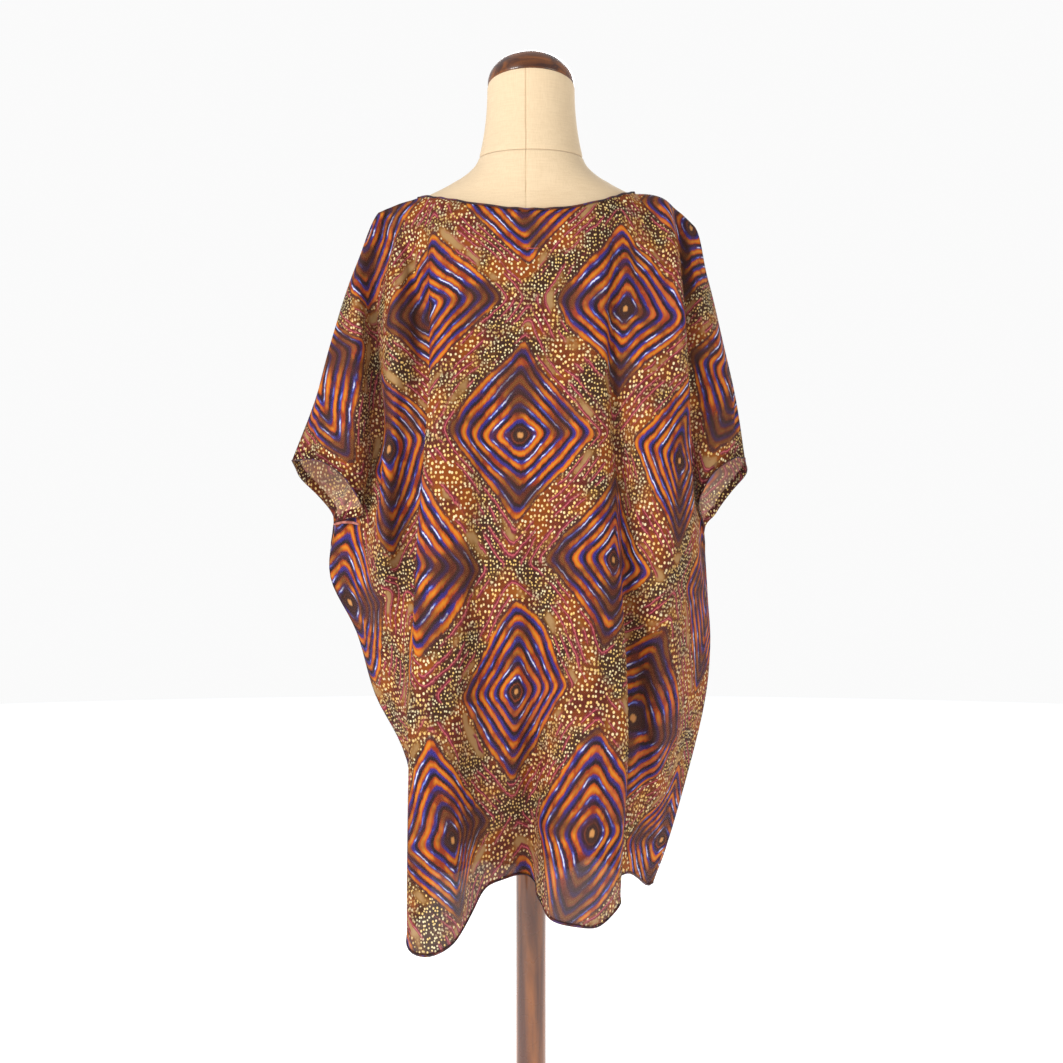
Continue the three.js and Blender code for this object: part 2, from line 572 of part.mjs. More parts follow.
function foot() {
  return turned([
    [FOOT_RADIUS - 4, 0],
    [FOOT_RADIUS, 4],
    [FOOT_RADIUS, 14],
    [FOOT_RADIUS - 5, 20],
    [FOOT_RADIUS - 16, FOOT_THICK - 3],
    [FOOT_RADIUS - 28, FOOT_THICK],
  ]);
}

const materials = {
  print: new THREE.MeshStandardMaterial({ color: 0x8a4a2a, roughness: 0.6, side: THREE.DoubleSide }),
  linen: new THREE.MeshStandardMaterial({ color: 0xf2dfb8, roughness: 0.85 }),
  varnished: new THREE.MeshStandardMaterial({ color: 0x7a3e14, roughness: 0.25 }),
};

function addPiece(group, name, geometry, material) {
  const mesh = new THREE.Mesh(geometry, material);
  mesh.name = name;
  group.add(mesh);
  return mesh;
}

const kaftan = new THREE.Group();
const panels = panelWalls();
panels.forEach(({ grid, inside, side }) => {
  const name = side < 0 ? "kaftan_back" : "kaftan_front";
  addPiece(kaftan, name, wallFrom(grid, inside, side > 0), materials.print);
});
addPiece(kaftan, "neck_binding", neckBinding(panels), materials.print);

const dressForm = new THREE.Group();
addPiece(dressForm, "form_body", formBody(), materials.linen);
addPiece(dressForm, "form_neck", formNeck(), materials.linen);
const cap = addPiece(dressForm, "neck_cap", neckCap(), materials.varnished);
cap.position.set(0, formAt(NECK_SEAM_Z).forward, NECK_TOP_Z + SEAM_GAP);
cap.rotation.x = -NECK_TILT;
addPiece(dressForm, "stand_post", post(), materials.varnished);
addPiece(dressForm, "stand_foot", foot(), materials.varnished);

const part = new THREE.Group();
part.add(kaftan, dressForm);

export default part;
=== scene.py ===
# A kaftan on a dress form. The garment's back faces -Y, +Z is up and the stand's foot is on the floor.
# Lengths are in metres, but the form, its neck and the cloth have theirs in millimetres.
import math

import bmesh
import bpy
import numpy
from mathutils import Matrix, Vector


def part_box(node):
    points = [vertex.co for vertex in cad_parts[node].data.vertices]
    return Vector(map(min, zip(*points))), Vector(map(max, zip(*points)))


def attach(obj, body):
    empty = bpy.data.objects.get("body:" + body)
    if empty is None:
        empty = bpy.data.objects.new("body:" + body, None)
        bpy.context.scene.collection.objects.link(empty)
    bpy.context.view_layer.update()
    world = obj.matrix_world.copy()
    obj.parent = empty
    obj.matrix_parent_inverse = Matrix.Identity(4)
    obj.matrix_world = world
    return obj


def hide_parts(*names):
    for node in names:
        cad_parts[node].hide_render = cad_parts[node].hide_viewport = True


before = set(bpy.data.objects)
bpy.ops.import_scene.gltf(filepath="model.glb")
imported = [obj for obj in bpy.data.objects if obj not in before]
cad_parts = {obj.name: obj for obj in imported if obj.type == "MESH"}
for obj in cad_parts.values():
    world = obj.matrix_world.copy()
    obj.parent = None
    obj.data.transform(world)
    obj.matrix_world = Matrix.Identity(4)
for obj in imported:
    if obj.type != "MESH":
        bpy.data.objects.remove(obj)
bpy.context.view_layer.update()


# ------------------------------------------------------------------------------------ stand foot
# The foot is a disc of mid-brown hardwood, turned with a rounded upper edge and a raised middle, and
# varnished. It lies flat on the floor and carries the post.


class Value:
    """A number, a colour or a vector on its way from node to node. Arithmetic on it adds Math nodes."""

    def __init__(self, finish, socket):
        self.finish = finish
        self.socket = socket

    def part(self, name):
        return Value(self.finish, self.socket.node.outputs[name])

    def sum(self, operation, *terms):
        return self.finish.node("ShaderNodeMath", {"operation": operation}, dict(enumerate(terms)))

    def __add__(self, other):
        return self.sum("ADD", self, other)

    def __radd__(self, other):
        return self.sum("ADD", other, self)

    def __sub__(self, other):
        return self.sum("SUBTRACT", self, other)

    def __rsub__(self, other):
        return self.sum("SUBTRACT", other, self)

    def __mul__(self, other):
        return self.sum("MULTIPLY", self, other)

    def __rmul__(self, other):
        return self.sum("MULTIPLY", other, self)

    def __truediv__(self, other):
        return self.sum("DIVIDE", self, other)

    def __abs__(self):
        return self.sum("ABSOLUTE", self)

    def nearest(self):
        return self.sum("ROUND", self)

    def higher(self, other):
        return self.sum("MAXIMUM", self, other)

    def rising(self, low, high):
        """0 below low and 1 above high, with a soft step between them. Falling if low is the higher one."""
        ends = {"Value": self, "From Min": low, "From Max": high}
        return self.finish.node("ShaderNodeMapRange", {"interpolation_type": "SMOOTHSTEP"}, ends)


class Finish:
    """A material, built node by node."""

    def __init__(self, name):
        self.material = bpy.data.materials.new(name)
        self.material.use_nodes = True
        self.tree = self.material.node_tree
        self.tree.nodes.clear()

    def node(self, kind, settings=None, sockets=None, output=0):
        made = self.tree.nodes.new(kind)
        for setting, value in (settings or {}).items():
            setattr(made, setting, value)
        for key, value in (sockets or {}).items():
            named = [s for s in made.inputs if key in (s.identifier, s.name)]
            socket = made.inputs[key] if isinstance(key, int) else named[0]
            if isinstance(value, Value):
                self.tree.links.new(value.socket, socket)
            else:
                socket.default_value = value
        return Value(self, made.outputs[output])

    def mixed(self, share, first, second):
        """The first colour where share is 0 and the second where it is 1."""
        colours = {"Factor_Float": share, "A_Color": first, "B_Color": second}
        return self.node("ShaderNodeMix", {"data_type": "RGBA"}, colours, 2)

    def vector(self, x=0.0, y=0.0, z=0.0):
        return self.node("ShaderNodeCombineXYZ", {}, {"X": x, "Y": y, "Z": z})

    def place(self):
        """Where a point of the piece lies, in metres."""
        return self.node("ShaderNodeTexCoord", output=3)

    def stretched(self, place, scale):
        return self.node("ShaderNodeMapping", {}, {"Vector": place, "Scale": scale})

    def noise(self, place, scale, detail, **more):
        sockets = {"Vector": place, "Scale": scale, "Detail": detail, **more}
        return self.node("ShaderNodeTexNoise", {}, sockets)

    def grey(self, colour):
        """How light a colour is, from 0 to 1."""
        return self.node("ShaderNodeRGBToBW", {}, {"Color": colour})

    def bump(self, height, strength, depth):
        return self.node("ShaderNodeBump", {}, {"Height": height, "Strength": strength, "Distance": depth})

    def done(self, **sockets):
        """Closes the material. Keyword names are those of the shader's sockets, with _ for a space."""
        named = {name.replace("_", " "): value for name, value in sockets.items()}
        surface = self.node("ShaderNodeBsdfPrincipled", {}, named)
        output = self.tree.nodes.new("ShaderNodeOutputMaterial")
        self.tree.links.new(surface.socket, output.inputs["Surface"])
        return self.material


def shade(red, green, blue):
    """A colour for a shader's socket, from its red, green and blue as they look, 0 to 255 each."""
    parts = [value / 255 for value in (red, green, blue)]
    return [p / 12.92 if p <= 0.04045 else ((p + 0.055) / 1.055) ** 2.4 for p in parts] + [1.0]


def varnished_wood(name, grain, light, dark):
    """Hardwood under a clear varnish. Its figure is longest along the axis where grain is smallest."""
    wood = Finish(name)
    place = wood.place()
    along = wood.stretched(place, grain)
    figure = wood.noise(along, 1.0, 6.0, Distortion=0.8)
    pores = wood.noise(along, 9.0, 3.0, Roughness=0.7)
    pore_colour = [part * 0.35 for part in dark[:3]] + [1.0]
    colour = wood.mixed(figure.rising(0.36, 0.66), dark, light)
    colour = wood.mixed(pores.rising(0.56, 0.7) * 0.35, colour, pore_colour)
    bump = wood.bump(pores, 0.08, 0.0004)
    smears = wood.noise(place, 26.0, 3.0)
    return wood.done(
        Base_Color=colour,
        Roughness=0.2 + 0.16 * smears,
        Coat_Weight=0.7,
        Coat_Roughness=0.08,
        Specular_IOR_Level=0.5,
        Normal=bump,
    )


def new_piece(name, bm, *finishes, sharp=math.radians(38)):
    """Turns a finished bmesh into a piece that rides on the stand."""
    mesh = bpy.data.meshes.new(name)
    bm.to_mesh(mesh)
    bm.free()
    for finish in finishes:
        mesh.materials.append(finish)
    mesh.shade_smooth()
    mesh.set_sharp_from_angle(angle=sharp)
    piece = bpy.data.objects.new(name, mesh)
    bpy.context.collection.objects.link(piece)
    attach(piece, "root")
    return piece


def turned(outline, steps=96):
    """A piece from the lathe. Its outline is (radius, height), from the axis up the side and back to it."""
    bm = bmesh.new()
    corners = [bm.verts.new((radius, 0, height)) for radius, height in outline]
    edges = [bm.edges.new(pair) for pair in zip(corners, corners[1:])]
    whole = {"cent": (0, 0, 0), "axis": (0, 0, 1), "angle": 2 * math.pi, "steps": steps, "use_merge": True}
    bmesh.ops.spin(bm, geom=corners + edges, **whole)
    bmesh.ops.remove_doubles(bm, verts=bm.verts[:], dist=1e-5)
    bmesh.ops.recalc_face_normals(bm, faces=bm.faces[:])
    return bm


def quarter_round(middle, radius, first, last, steps=8):
    """Points of an arc round middle, from the first angle to the last, in degrees from straight out."""
    angles = [math.radians(first + (last - first) * i / steps) for i in range(steps + 1)]
    return [(middle[0] + radius * math.cos(a), middle[1] + radius * math.sin(a)) for a in angles]


FOOT_LOWER_ROUND = 0.004
FOOT_UPPER_ROUND = 0.008
FOOT_SIDE = 0.012  # height of the straight side
FOOT_STEP_IN = 0.03  # how far in from the rim the raised middle starts
FOOT_STEP_ROUND = 0.012
FOOT_FLAT_IN = 0.09  # and how far in its top is flat

foot_radius, _, foot_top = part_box("stand_foot")[1]
foot_outline = (
    [(0, 0), (foot_radius - FOOT_LOWER_ROUND, 0)]
    + quarter_round((foot_radius - FOOT_LOWER_ROUND, FOOT_LOWER_ROUND), FOOT_LOWER_ROUND, -90, 0)
    + [(foot_radius, FOOT_SIDE)]
    + quarter_round((foot_radius - FOOT_UPPER_ROUND, FOOT_SIDE), FOOT_UPPER_ROUND, 0, 70)
    + quarter_round((foot_radius - FOOT_STEP_IN, foot_top - FOOT_STEP_ROUND), FOOT_STEP_ROUND, 60, 90)
    + [(foot_radius - FOOT_FLAT_IN, foot_top), (0, foot_top)]
)
wood_light = shade(158, 92, 34)
wood_dark = shade(84, 38, 10)
plank = varnished_wood("wood_foot", (3, 34, 34), wood_light, wood_dark)
foot = new_piece("stand_foot_turned", turned(foot_outline), plank)
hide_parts("stand_foot")


# ------------------------------------------------------------------------------------ stand post
# A turned post of the same wood stands in the foot. It has a collar at each end and two rounded beads below
# the form's bottom edge, which show dark through the sheer cloth.
POST_RADIUS = 0.018
POST_COLLAR = 0.026
POST_COLLAR_TALL = 0.008
POST_COLLAR_ROUND = 0.002
POST_FOOT_COVE = 0.008
POST_HEAD = 0.03
POST_HEAD_TALL = 0.013
POST_HEAD_COVE = 0.0125
BEAD_BULGE = 0.006
BEAD_TALL = 0.028
BEAD_STEPS = 12
BEADS = (0.64, 0.674)  # where each bead starts


def bead(low):
    """A rounded bead round the post, from a height up."""
    points = []
    for i in range(BEAD_STEPS + 1):
        bulge = BEAD_BULGE * math.sin(math.pi * i / BEAD_STEPS)
        points.append((POST_RADIUS + bulge, low + BEAD_TALL * i / BEAD_STEPS))
    return points


post_foot, post_top = (corner[2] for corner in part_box("stand_post"))
collar_top = post_foot + POST_COLLAR_TALL
post_outline = (
    [(0, post_foot), (POST_COLLAR, post_foot), (POST_COLLAR, collar_top)]
    + quarter_round((POST_COLLAR - POST_COLLAR_ROUND, collar_top), POST_COLLAR_ROUND, 0, 90, 4)
    + quarter_round((POST_COLLAR, post_foot + 0.02), POST_FOOT_COVE, 260, 180)
    + [(POST_RADIUS, 0.2), (POST_RADIUS, 0.4), (POST_RADIUS, BEADS[0] - 0.002)]
    + bead(BEADS[0])
    + [(POST_RADIUS - 0.0008, BEADS[1] - 0.003)]
    + bead(BEADS[1])
    + [(POST_RADIUS - 0.0005, 0.706), (POST_RADIUS, 0.74)]
    + quarter_round((POST_HEAD + 0.0005, post_top - 0.0262), POST_HEAD_COVE, 180, 110, 6)
    + [(POST_HEAD, post_top - POST_HEAD_TALL), (POST_HEAD, post_top), (0, post_top)]
)
upright = varnished_wood("wood_post", (46, 46, 3), wood_light, wood_dark)
post = new_piece("stand_post_turned", turned(post_outline, 64), upright)
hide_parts("stand_post")


# ------------------------------------------------------------------------------------ form body
# The dress form's body is a papier-mache shell under cream linen. The linen is cut in halves that meet in a
# seam down the middle of the back and of the front, stretched over the shell and turned in at both ends.

# Half width, half depth, how far forward the section lies, and its pinch: 0.5 for an ellipse, more where
# the depth falls off sooner.
FORM_SECTIONS = [
    # z, wide, deep, forward, pinch
    (805, 152, 106, -2, 0.5),  # bottom edge
    (880, 160, 113, -3, 0.5),  # hip
    (950, 144, 104, -1, 0.5),  # high hip
    (1030, 122, 92, 2, 0.5),  # waist
    (1120, 134, 102, 5, 0.5),  # under bust
    (1200, 150, 116, 9, 0.5),  # bust
    (1280, 167, 106, 2, 0.52),  # chest
    (1345, 178, 84, -6, 0.6),  # shoulder joint
    (1370, 176, 74, -9, 0.72),  # shoulder tip
    (1384, 162, 68, -11, 0.8),  # outer shoulder
    (1398.5, 131, 63, -12, 0.8),  # middle shoulder
    (1417.5, 93, 61, -14, 0.7),  # inner shoulder
    (1432, 71, 60, -15, 0.56),  # neck root
    (1446, 62, 59, -15, 0.5),  # neck seam
]
FORM_SIDES = 120
FORM_TURN_IN = 0.02  # share by which the linen turns in at both ends
CLOSE_SECTIONS_Z = 1345  # the shoulders, from here up, take more rings
SEAM_X = -6.0  # the middle seam, a little to the left
SEAM_SINK = 0.9
SEAM_HALF_WIDTH = 1.6
SEAM_SEARCH = 20.0  # only faces this near to the middle plane are cut for the seam
LINEN_SHARP = math.radians(60)


def smooth(a, b, c, d, t):
    """A value that runs smoothly through its four neighbours, between b and c."""
    return b + 0.5 * t * (c - a + t * (2 * a - 5 * b + 4 * c - d + t * (3 * (b - c) + d - a)))


def form_at(z):
    """The form's section at a height: wide, deep, forward, pinch."""
    last = len(FORM_SECTIONS) - 1
    z = min(max(z, FORM_SECTIONS[0][0]), FORM_SECTIONS[last][0])
    above = max(1, next(i for i, section in enumerate(FORM_SECTIONS) if section[0] >= z))
    a, b, c, d = (FORM_SECTIONS[min(max(i, 0), last)] for i in range(above - 2, above + 2))
    t = (z - b[0]) / (c[0] - b[0])
    return [smooth(a[k], b[k], c[k], d[k], t) for k in range(1, 5)]


def round_section(bm, sides):
    """A closed ring of edges. Each point keeps its angle, so that the rings grown from it do too."""
    turn = bm.verts.layers.float.new("turn")
    ring = bmesh.ops.create_circle(bm, segments=sides, radius=1)["verts"]
    for vert in ring:
        vert[turn] = math.atan2(vert.co.y, vert.co.x)
    return turn, ring


def grown(bm, ring):
    """The next ring above, joined to this one by faces."""
    edges = [e for e in {e for v in ring for e in v.link_edges} if all(v in ring for v in e.verts)]
    made = bmesh.ops.extrude_edge_only(bm, edges=edges)["geom"]
    return {g for g in made if isinstance(g, bmesh.types.BMVert)}


def closed_with_seam(bm):
    """Closes both ends of a shell, and sinks a narrow groove where its halves of linen are sewn together."""
    bmesh.ops.edgeloop_fill(bm, edges=[e for e in bm.edges if e.is_boundary])
    bmesh.ops.recalc_face_normals(bm, faces=bm.faces[:])
    faces = [f for f in bm.faces if abs(f.calc_center_median().x) < SEAM_SEARCH / 1000]
    geom = list({g for f in faces for g in (f, *f.edges, *f.verts)})
    for offset in (-SEAM_HALF_WIDTH, 0.0, SEAM_HALF_WIDTH):
        plane = ((SEAM_X + offset) / 1000, 0, 0)
        geom = bmesh.ops.bisect_plane(bm, geom=geom, plane_co=plane, plane_no=(1, 0, 0))["geom"]
    for vert in {g for g in geom if isinstance(g, bmesh.types.BMVert)}:
        if abs(vert.co.x - SEAM_X / 1000) < 1e-5:
            vert.co.y -= math.copysign(SEAM_SINK / 1000, vert.co.y)


form_heights = []
for lower, upper in zip(FORM_SECTIONS, FORM_SECTIONS[1:]):
    steps = 8 if lower[0] >= CLOSE_SECTIONS_Z else 5
    form_heights += [lower[0] + (upper[0] - lower[0]) * step / steps for step in range(steps)]
form_heights.append(FORM_SECTIONS[-1][0])

bm = bmesh.new()
turn, ring = round_section(bm, FORM_SIDES)
for z in form_heights:
    if z > form_heights[0]:
        ring = grown(bm, ring)
    wide, deep, forward, pinch = form_at(z)
    drawn_in = 1 - (FORM_TURN_IN if z in (form_heights[0], form_heights[-1]) else 0)
    for vert in ring:
        across, ahead = math.cos(vert[turn]), math.sin(vert[turn])
        reach = deep * math.copysign(abs(ahead) ** (2 * pinch), ahead)
        vert.co = Vector((drawn_in * wide * across, forward + drawn_in * reach, z)) / 1000
closed_with_seam(bm)


def linen(name):
    """Cream linen in a plain weave, drawn tight. It is a little darker along the seam."""
    cloth = Finish(name)
    place = cloth.place()
    x = cloth.node("ShaderNodeSeparateXYZ", {}, {"Vector": place})
    slubs_up = cloth.stretched(place, (1500, 1500, 60))
    slubs_across = cloth.stretched(place, (60, 60, 1500))
    warp = cloth.noise(slubs_up, 1.0, 2.0)
    weft = cloth.noise(slubs_across, 1.0, 2.0)
    threads = (warp + weft) * 0.5
    age = cloth.noise(place, 9.0, 4.0)
    colour = cloth.mixed(threads.rising(0.36, 0.62), shade(216, 191, 155), shade(225, 201, 166))
    colour = cloth.mixed(age.rising(0.5, 0.75) * 0.3, colour, shade(206, 170, 124))
    seam = abs(x - SEAM_X / 1000).rising(0.0009, 0.0002)
    colour = cloth.mixed(seam * 0.35, colour, shade(168, 136, 96))
    bump = cloth.bump(threads, 0.35, 0.0005)
    return cloth.done(Base_Color=colour, Roughness=0.82 + 0.1 * threads, Sheen_Weight=0.15, Normal=bump)


form_body = new_piece("dress_form_body", bm, linen("linen_body"), sharp=LINEN_SHARP)
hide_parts("form_body")


# ------------------------------------------------------------------------------------ form neck
# The neck is a shell of its own under the same linen, with the same middle seam. It tapers upwards and its
# top is cut on a slope, higher at the back, for the wooden cap. Its lower edge meets the body in a seam.
NECK_SEAM_Z = 1446.3
NECK_TOP_Z = 1531.0
NECK_TOP_RADIUS = 52.0
NECK_TILT = math.radians(12)
NECK_RINGS = 26
NECK_TAPER = 2.2  # above 1, the neck narrows mostly near its lower end
NECK_TURN_IN = 0.985

neck_wide, neck_deep, neck_forward, _ = form_at(FORM_SECTIONS[-1][0])
bm = bmesh.new()
turn, ring = round_section(bm, FORM_SIDES)
for level in range(NECK_RINGS + 1):
    if level:
        ring = grown(bm, ring)
    t = level / NECK_RINGS
    taper = 1 - (1 - t) ** NECK_TAPER
    turned_in = NECK_TURN_IN if level in (0, NECK_RINGS) else 1.0
    wide = (neck_wide + (NECK_TOP_RADIUS - neck_wide) * taper) * turned_in
    deep = (neck_deep + (NECK_TOP_RADIUS - neck_deep) * taper) * turned_in
    for vert in ring:
        y = deep * math.sin(vert[turn])
        top = NECK_TOP_Z - y * math.tan(NECK_TILT)
        z = NECK_SEAM_Z + (top - NECK_SEAM_Z) * t
        vert.co = Vector((wide * math.cos(vert[turn]), neck_forward + y, z)) / 1000
closed_with_seam(bm)
neck = new_piece("dress_form_neck", bm, linen("linen_neck"), sharp=LINEN_SHARP)
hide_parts("form_neck")


# ------------------------------------------------------------------------------------ neck cap
# A turned dome of mid-brown wood closes the neck. It is sanded smooth and thickly varnished, so it shines,
# and it lies on the neck's sloping top.
CAP_INSET = 0.0005  # how much smaller the cap is than the neck's top
CAP_GAP = 0.0003
CAP_ROUND = 0.002
CAP_SIDE = 0.004
CAP_DOME = 0.036
CAP_STEPS = 24

cap_rim = NECK_TOP_RADIUS / 1000 - CAP_INSET
cap_outline = [(0, 0), (cap_rim - CAP_ROUND, 0)]
cap_outline += quarter_round((cap_rim - CAP_ROUND, CAP_ROUND), CAP_ROUND, -90, 0, 5)
for step in range(CAP_STEPS):
    angle = math.pi / 2 * step / CAP_STEPS
    cap_outline.append((cap_rim * math.cos(angle), CAP_SIDE + CAP_DOME * math.sin(angle)))
cap_outline.append((0, CAP_SIDE + CAP_DOME))
bm = turned(cap_outline)
bmesh.ops.rotate(bm, verts=bm.verts[:], cent=(0, 0, 0), matrix=Matrix.Rotation(-NECK_TILT, 3, "X"))
bmesh.ops.translate(bm, verts=bm.verts[:], vec=(0, neck_forward / 1000, NECK_TOP_Z / 1000 + CAP_GAP))
cap_wood = varnished_wood("wood_cap", (9, 90, 90), shade(134, 74, 14), shade(62, 26, 6))
cap = new_piece("neck_cap_turned", bm, cap_wood)
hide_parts("neck_cap")


# ------------------------------------------------------------------------------------ kaftan, back panel
# The back is one piece of thin printed cloth, cut nearly straight: the top edge runs from sleeve end to
# sleeve end with a shallow dip for the neck. It hangs from the shoulders in folds that fan out from the
# shoulder tips. Each row of the table is the line of one ridge or valley.

CLOTH_WALL = 0.9
REST_OUT = 2.6  # how far the cloth's outside stands off the form, sideways
REST_UP = 2.8  # and upwards
STEPS_ACROSS = 6  # cells between neighbouring lines
ROWS_DOWN = 110
ROW_BUNCHING = 1.5  # above 1, rows lie closer together near the top
SHOULDER_ROUNDING = 0.55  # below 1, cloth leaves the shoulder seam level, and falls away after
SEAM_PARTING = 0.12  # half the gap between the panels where they are sewn

# A side's joins with the other panel. crown is how far the shoulder seam rises above the straight line from
# the neck edge to the tip. Below 1, rounding makes the lines leave the tip outwards, and fall after. A line
# starts on the shoulder seam and ends at the sleeve's edge, down the side seam or at the hem corner.
LEFT = {
    "crown": 1,
    "rounding": 0.75,
    "tip": (-182, -6, 1384),
    "cuff": (-287, 0, 1087),
    "underarm": (-237, 4, 1010),
    "seam1": (-243, 20, 947),
    "seam2": (-212, 28, 880),
    "seam3": (-189, 22, 805),
    "seam4": (-150, 12, 726),
    "corner": (-129, 0, 600),
}
RIGHT = {
    "crown": 11,
    "rounding": 0.45,
    "tip": (190, -4, 1371),
    "cuff": (257, 2, 1090),
    "underarm": (208, 5, 1001),
    "seam1": (214, 20, 925),
    "seam2": (218, 30, 861),
    "seam3": (208, 25, 781),
    "seam4": (173, 20, 650),
    "corner": (148, 25, 575),
}
NECK_LEFT_X, NECK_RIGHT_X = -136, 124
NECK_DROP = {-1: 29.5, 1: 88}  # how far the neck edge dips at its lowest point, on the back and on the front
NECK_SKEW = 1.2  # above 1, that point lies to the right of the middle
SIDE_LINES = 10  # lines from the sleeve top to the neck edge's end, on each side
UNDERARM_COLUMN = 4 * STEPS_ACROSS
CORNER_COLUMN = (SIDE_LINES - 1) * STEPS_ACROSS

BACK_LINES = [
    # where the line starts along the shoulder; x, y at a quarter, at half and at three quarters; its end
    (-182, (-213, -4), (-238, 0), (-259, 2), LEFT["cuff"]),  # left sleeve top
    (-177, (-210, -26), (-231, -34), (-247, -38), (-254, -28, 1086)),  # left sleeve hollow
    (-172, (-202, -50), (-203, -60), (-202, -63), (-220, -52, 1066)),  # left sleeve ridge
    (-167, (-187, -34), (-186, -30), (-188, -31), (-199, -36, 1024)),  # left deep hollow
    (-162, (-175, -48), (-178, -42), (-179, -27), LEFT["underarm"]),
    (-157, (-165, -73), (-170, -77), (-171, -57), LEFT["seam1"]),  # left side back
    (-152, (-160, -86), (-164, -90), (-182, -68), LEFT["seam2"]),  # left side ridge
    (-147, (-152, -94), (-158, -92), (-172, -76), LEFT["seam3"]),  # left side face
    (-142, (-142, -92), (-145, -78), (-152, -56), LEFT["seam4"]),  # left side hollow
    (NECK_LEFT_X, (-128, -87), (-128, -77), (-132, -67), LEFT["corner"]),  # left lobe hollow
    (-131, (-109, -99), (-109, -96), (-109, -86), (-117, -82, 580)),  # left lobe back
    (-118, (-115, -132), (-129, -145), (-136, -160), (-139, -161, 545)),  # left lobe edge
    (-97, (-92, -142), (-104, -163), (-112, -182), (-116, -188, 535)),  # left lobe
    (-73, (-66, -138), (-78, -160), (-85, -174), (-85, -180, 547)),  # left lobe inner side
    (-49, (-45, -132), (-57, -142), (-64, -135), (-67, -134, 573)),  # left centre hollow
    (-27, (-26, -133), (-35, -148), (-43, -148), (-50, -116, 597)),  # arch, left
    (-9, (-9, -134), (-13, -149), (-17, -144), (-24, -100, 606)),  # arch, middle
    (7, (8, -133), (6, -143), (4, -132), (0, -94, 605)),  # centre hollow
    (23, (24, -133), (22, -146), (15, -146), (9, -146, 589)),  # right lobe inner side
    (41, (42, -135), (44, -155), (38, -172), (21, -178, 574)),  # right lobe, left
    (61, (60, -137), (66, -159), (66, -182), (49, -188, 568)),  # right lobe
    (81, (74, -134), (85, -150), (92, -174), (77, -180, 567)),  # right lobe, right
    (94, (85, -128), (98, -132), (109, -152), (99, -151, 586)),  # right lobe edge
    (108, (92, -110), (105, -108), (103, -84), (100, -86, 601)),  # right lobe hollow
    (117, (108, -122), (121, -124), (122, -80), (118, -48, 600)),  # right lobe back
    (NECK_RIGHT_X, (126, -131), (136, -125), (146, -90), RIGHT["corner"]),  # right side fold
    (134, (146, -121), (153, -128), (166, -84), RIGHT["seam4"]),  # right side face
    (142, (160, -109), (168, -116), (182, -76), RIGHT["seam3"]),  # right side back
    (150, (169, -112), (178, -104), (192, -66), RIGHT["seam2"]),  # right sleeve back
    (158, (174, -98), (182, -96), (190, -60), RIGHT["seam1"]),  # right sleeve fold
    (165, (174, -66), (182, -62), (188, -40), RIGHT["underarm"]),
    (172, (177, -32), (184, -42), (194, -44), (199, -36, 1036)),  # right deep hollow
    (178, (191, -46), (204, -54), (214, -52), (213, -42, 1068)),  # right sleeve outside
    (184, (202, -28), (220, -34), (236, -32), (239, -24, 1088)),  # right sleeve edge
    (190, (213, -4), (230, -2), (246, 0), RIGHT["cuff"]),  # right sleeve top
]


def shoulder_height(x):
    """The height of the form's top above a point of its shoulder line."""
    low, high = 1345.0, 1446.0
    for _ in range(30):
        middle = (low + high) / 2
        if form_at(middle)[0] > abs(x):
            low = middle
        else:
            high = middle
    return low


def clear_of_form(point, side, out=REST_OUT):
    """Moves a point off the form, towards the panel's own side."""
    up = REST_UP / REST_OUT * out
    wide, deep, forward, pinch = form_at(point.z - up)
    share = abs(point.x) / (wide + out)
    if share < 1 and FORM_SECTIONS[0][0] - 2 * up <= point.z <= FORM_SECTIONS[-1][0]:
        surface = forward + side * (deep + out) * (1 - share * share) ** pinch
        if side * (point.y - surface) < 0:
            point.y = surface
    return point


def shoulder_seam(x):
    """A point of the shoulder seam, on the form's crest or on the line from the neck edge to the tip."""
    joins, neck_x = (LEFT, NECK_LEFT_X) if x < 0 else (RIGHT, NECK_RIGHT_X)
    tip = joins["tip"]
    height = shoulder_height(x)
    t = (x - neck_x) / (tip[0] - neck_x)
    ease = min(max((t - 0.4) / 0.6, 0), 1)
    y = form_at(height)[2] + (tip[1] - form_at(height)[2]) * ease * ease * (3 - 2 * ease)
    straight = shoulder_height(neck_x) + REST_UP
    crown = joins["crown"] * math.sin(math.pi * min(max(t, 0), 1))
    return Vector((x, y, max(height + REST_UP, straight + (tip[2] - straight) * t + crown)))


def neck_dip(x, side):
    """How far the neck edge lies below the straight line between its two ends, as a share of its drop."""
    t = (x - NECK_LEFT_X) / (NECK_RIGHT_X - NECK_LEFT_X)
    return 1 - abs(2 * t**NECK_SKEW - 1) ** (2 if side < 0 else 2.6) if 0 < t < 1 else 0.0


def upper_edge(x, side):
    """A point of the panel's upper edge: the shoulder seams, and between them the neck edge."""
    if x <= NECK_LEFT_X or x >= NECK_RIGHT_X:
        return shoulder_seam(x)
    t = (x - NECK_LEFT_X) / (NECK_RIGHT_X - NECK_LEFT_X)
    point = shoulder_seam(NECK_LEFT_X).lerp(shoulder_seam(NECK_RIGHT_X), t)
    point.z -= neck_dip(x, side) * NECK_DROP[side]
    return clear_of_form(point, side)


def curve(knots, share):
    """A point on a smooth curve through knots, at a share of its length in knots."""
    last = len(knots) - 1
    at = min(max(share * last, 0), last)
    i = min(int(at), last - 1)
    before = knots[i - 1] if i > 0 else knots[0] * 2 - knots[1]
    after = knots[i + 2] if i + 2 <= last else knots[last] * 2 - knots[last - 1]
    return smooth(before, knots[i], knots[i + 1], after, at - i)


